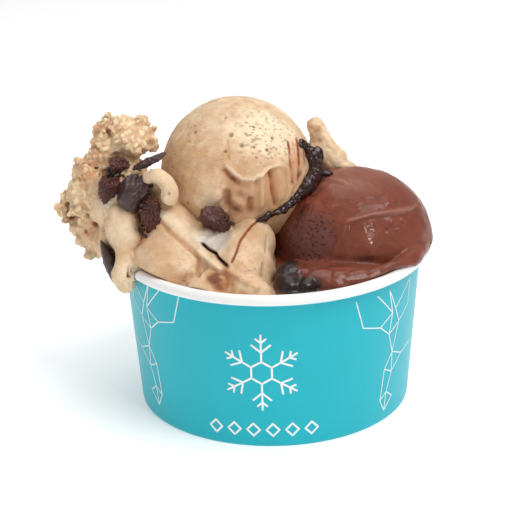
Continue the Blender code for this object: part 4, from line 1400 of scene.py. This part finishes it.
class GELATO_OT_fudge(bpy.types.Operator):
    """Make the glossy fudge ripple between the ball and the chocolate scoop"""

    bl_idname = "gelato.fudge"
    bl_label = "Fudge ripple"

    ROUTE = [(9.4, -3.0, 78.6), (11.2, -3.2, 76.6), (12.7, -3.6, 73.2), (12.8, -4.8, 70.4),
             (10.8, -8.4, 67.8), (7.4, -12.0, 65.4), (3.9, -14.8, 63.2), (-0.6, -17.0, 61.8),
             (-4.2, -18.4, 60.9)]
    WIDTHS = (1.2, 1.7, 2.3, 2.5, 1.7, 1.2, 1.15, 0.85, 0.5)

    def execute(self, context):
        food = context.scene.gelato_food
        bm = bmesh.new()
        random = np.random.default_rng(45)
        stops = np.linspace(0, 1, len(self.WIDTHS))
        for point, share in along(self.ROUTE, 0.5):
            width = np.interp(share, stops, self.WIDTHS) * random.uniform(0.85, 1.1)
            lump(bm, point, (width, width * 0.75, width), detail=2)
            way = random.normal(size=3)
            way[1] = -abs(way[1]) - 0.3
            place = np.array(point) + way / np.linalg.norm(way) * width * 0.85
            radii = random.uniform(0.3, 0.8) * random.uniform(0.7, 1.4, size=3)
            lump(bm, place, radii, random.uniform(0, 180, size=3), 2)
        lump(bm, (8.4, -4.2, 78.4), (1.4, 1.0, 0.9), (0, 30, 0))
        lump(bm, (15.8, -4.4, 69.9), (2.6, 1.5, 0.9), (0, 6, 0))
        lump(bm, (13.8, -2.6, 75.0), (1.6, 1.4, 2.4), (0, -12, 0))
        mesh = fused(bm, "fudge_ripple_sauce", food.crumb_voxel * 0.75, 3)
        places, facing = points_of(mesh)
        lift = 0.25 * waves(places, 1.8, 111, 2) + 0.1 * waves(places, 0.7, 113, 2)
        move(mesh, places + facing * lift[:, None])
        finished(mesh, "fudge_ripple_sauce", [material("fudge_sauce")], "fudge", "fudge_ripple")
        return {"FINISHED"}


# Chunks are (centre, radii, turn in degrees, how crumbly they are)
CHUNKS = {
    "upper": ((-43.2, -9.6, 75.6), (3.0, 2.6, 2.3), (0, 14, 10), 0.9),
    "left": ((-46.6, -11.6, 69.0), (3.5, 3.0, 5.0), (10, 14, 0), 0.8),
    "grey": ((-39.4, -14.6, 68.8), (4.6, 3.7, 5.4), (0, -12, 20), 0.1),
    "front": ((-34.7, -16.6, 62.8), (3.1, 3.2, 5.6), (8, 4, 0), 1.2),
    "splinter": ((-34.9, -9.4, 76.0), (5.0, 1.6, 1.3), (0, -24, 14), 0.5),
    "sliver": ((-46.6, -14.7, 47.0), (1.9, 2.7, 7.6), (0, -15, 0), 0.2),
    "middle": ((-15.9, -21.4, 62.7), (4.4, 3.4, 3.6), (0, 30, 12), 0.8),
}


class GELATO_OT_chunks(bpy.types.Operator):
    """Make the dark chocolate chunks, snapped flat on some sides and crumbly on others"""

    bl_idname = "gelato.chunks"
    bl_label = "Chocolate chunks"

    def execute(self, context):
        for number, (name, (centre, radii, turn, crumbly)) in enumerate(CHUNKS.items()):
            bm = bmesh.new()
            bmesh.ops.create_icosphere(bm, subdivisions=6, radius=1.0)
            mesh = mesh_from(bm, f"chunk_{name}_chocolate")
            ways, _ = points_of(mesh)
            random = np.random.default_rng(200 + number)
            body = ways * 1.12
            for _ in range(11):
                normal = random.normal(size=3)
                normal /= np.linalg.norm(normal)
                depth = random.uniform(0.68, 0.95)
                beyond = np.maximum(body @ normal - depth, 0)
                body = body - beyond[:, None] * normal * 0.94
            rotation = np.array(Euler([math.radians(a) for a in turn]).to_matrix())
            places = (body * radii) @ rotation.T + centre
            facing = ways @ rotation.T
            near, second, _ = scatter(places, 1.2, 121)
            grit = np.clip((second - near) / 0.6, 0, 1)
            lift = crumbly * (0.55 * grit - 0.3) + 0.12 * waves(places, 1.4, 123, 2)
            move(mesh, places + facing * lift[:, None])
            kind = "crumbly_chocolate" if crumbly > 0.7 else "dark_chocolate"
            finished(mesh, f"chunk_{name}_chocolate", [material(kind)],
                     "chocolate_chunk", f"chocolate_chunk_{name}")
        return {"FINISHED"}


class GELATO_OT_crumbs(bpy.types.Operator):
    """Scatter small chips of chocolate round the chunks"""

    bl_idname = "gelato.crumbs"
    bl_label = "Chips and crumbs"

    # (middle, spread, count)
    CHIPS = [
        ((-45.0, -10.5, 73.4), (3.0, 1.2, 1.8), 22),
        ((-36.6, -13.4, 71.6), (2.0, 1.5, 2.6), 26),
        ((-36.0, -15.8, 66.0), (2.2, 1.5, 2.4), 20),
        ((-35.0, -17.6, 58.6), (2.0, 1.0, 1.0), 8),
        ((-13.6, -22.0, 61.2), (2.2, 1.0, 1.2), 8),
    ]

    def execute(self, context):
        random = np.random.default_rng(77)
        bm = bmesh.new()
        for middle, spread, count in self.CHIPS:
            for _ in range(count):
                place = np.array(middle) + random.normal(size=3) * spread * 0.6
                radii = random.uniform(0.35, 0.85) * random.uniform(0.6, 1.3, size=3)
                lump(bm, place, radii, random.uniform(0, 180, size=3), 2)
        mesh = mesh_from(bm, "chocolate_chips")
        places, facing = points_of(mesh)
        move(mesh, places + facing * (0.12 * waves(places, 0.6, 131, 2))[:, None])
        finished(mesh, "chocolate_chips", [material("dark_chocolate")], "chocolate_chunk")
        return {"FINISHED"}


# ---------------------------------------------------------------- the stage


class GELATO_OT_stage(bpy.types.Operator):
    """Make the pale floor, the soft studio light and the camera"""

    bl_idname = "gelato.stage"
    bl_label = "Stage"

    # Name, place and size in metres, power in watts
    LIGHTS = [
        ("key_softbox", (0.3, -0.25, 0.7), 0.4, 3.1),
        ("top_softbox", (0.05, 0.2, 0.8), 0.6, 2.0),
        ("fill_softbox", (-0.6, -0.7, 0.4), 0.6, 0.7),
        ("glint_lamp", (0.34, -0.62, 0.62), 0.07, 0.5),
    ]
    LOOKS_AT = Vector((-4.84, 0.0, 42.72))

    def execute(self, context):
        stage = context.scene.gelato_stage
        bm = bmesh.new()
        bmesh.ops.create_grid(bm, x_segments=1, y_segments=1, size=3.0)
        floor = bpy.data.objects.new("floor", mesh_from(bm, "floor"))
        context.scene.collection.objects.link(floor)
        floor.data.materials.append(self.floor_material(stage.floor))
        aim = CUP_AXIS + Vector((0, 0, 0.04))
        for name, place, size, power in self.LIGHTS:
            light = bpy.data.lights.new(name, "AREA")
            light.size = size
            light.energy = power
            holder = bpy.data.objects.new(name, light)
            holder.location = place
            holder.rotation_euler = (aim - Vector(place)).to_track_quat("-Z", "Y").to_euler()
            context.scene.collection.objects.link(holder)
        self.sky(context)
        self.camera(context, stage)
        return {"FINISHED"}

    def floor_material(self, colour):
        """Matt backdrop paper, so it takes only a soft shadow."""
        made, tree, shader = new_material("backdrop_paper")
        place = add(tree, "ShaderNodeTexCoord").outputs["Object"]
        cloud = add(tree, "ShaderNodeTexNoise", {"Vector": place, "Scale": 3.0})
        tint = add(
            tree, "ShaderNodeMix",
            {"Factor": cloud.outputs["Fac"], "A": (*colour, 1),
             "B": (*[c * 0.98 for c in colour], 1)},
            data_type="RGBA",
        )
        tree.links.new(tint.outputs["Result"], shader.inputs["Base Color"])
        set_sockets(shader, {
            "Roughness": 0.9, "Emission Color": (1, 1, 1, 1), "Emission Strength": 0.3,
        })
        return made

    def sky(self, context):
        world = bpy.data.worlds.new("studio")
        world.use_nodes = True
        back = world.node_tree.nodes["Background"]
        set_sockets(back, {"Color": (1, 1, 1, 1), "Strength": 0.4})
        context.scene.world = world
        context.scene.view_settings.view_transform = "Standard"

    def camera(self, context, stage):
        target = CUP_AXIS + self.LOOKS_AT * MM
        back = Vector((0, -math.cos(stage.elevation), math.sin(stage.elevation)))
        camera = bpy.data.cameras.new("camera")
        camera.lens = stage.lens
        camera.sensor_width = 36.0
        holder = bpy.data.objects.new("camera", camera)
        holder.location = target + back * stage.distance
        turn = (-back).to_track_quat("-Z", "Y") @ Quaternion((0, 0, 1), stage.roll)
        holder.rotation_euler = turn.to_euler()
        context.scene.collection.objects.link(holder)
        context.scene.camera = holder


# ---------------------------------------------------------------- the add-on


class GELATO_PT_panel(bpy.types.Panel):
    """Lists the steps that build the gelato cup"""

    bl_idname = "GELATO_PT_panel"
    bl_label = "Gelato Cup"
    bl_space_type = "VIEW_3D"
    bl_region_type = "UI"
    bl_category = "Gelato"

    def draw(self, context):
        layout = self.layout
        for group in (context.scene.gelato_cup, context.scene.gelato_food,
                      context.scene.gelato_stage):
            box = layout.box()
            for name in group.__annotations__:
                box.prop(group, name)
        for step in STEPS:
            layout.operator(step.bl_idname)


STEPS = (
    GELATO_OT_cup, GELATO_OT_print, GELATO_OT_filling, GELATO_OT_ball, GELATO_OT_torn_scoop,
    GELATO_OT_strands, GELATO_OT_chocolate_scoop, GELATO_OT_fudge, GELATO_OT_chunks,
    GELATO_OT_crumbs, GELATO_OT_stage,
)
SETTINGS = {
    "gelato_cup": GelatoCupSettings,
    "gelato_food": GelatoFoodSettings,
    "gelato_stage": GelatoStageSettings,
}


def register():
    for group in SETTINGS.values():
        bpy.utils.register_class(group)
    for step in (*STEPS, GELATO_PT_panel):
        bpy.utils.register_class(step)
    for name, group in SETTINGS.items():
        setattr(bpy.types.Scene, name, PointerProperty(type=group))


def unregister():
    for name in SETTINGS:
        delattr(bpy.types.Scene, name)
    for step in (GELATO_PT_panel, *reversed(STEPS)):
        bpy.utils.unregister_class(step)
    for group in SETTINGS.values():
        bpy.utils.unregister_class(group)


def main():
    register()
    bpy.ops.gelato.cup()
    bpy.ops.gelato.print()
    bpy.ops.gelato.filling()
    bpy.ops.gelato.ball()
    bpy.ops.gelato.torn_scoop()
    bpy.ops.gelato.strands()
    bpy.ops.gelato.chocolate_scoop()
    bpy.ops.gelato.fudge()
    bpy.ops.gelato.chunks()
    bpy.ops.gelato.crumbs()
    bpy.ops.gelato.stage()


if __name__ == "__main__":
    main()
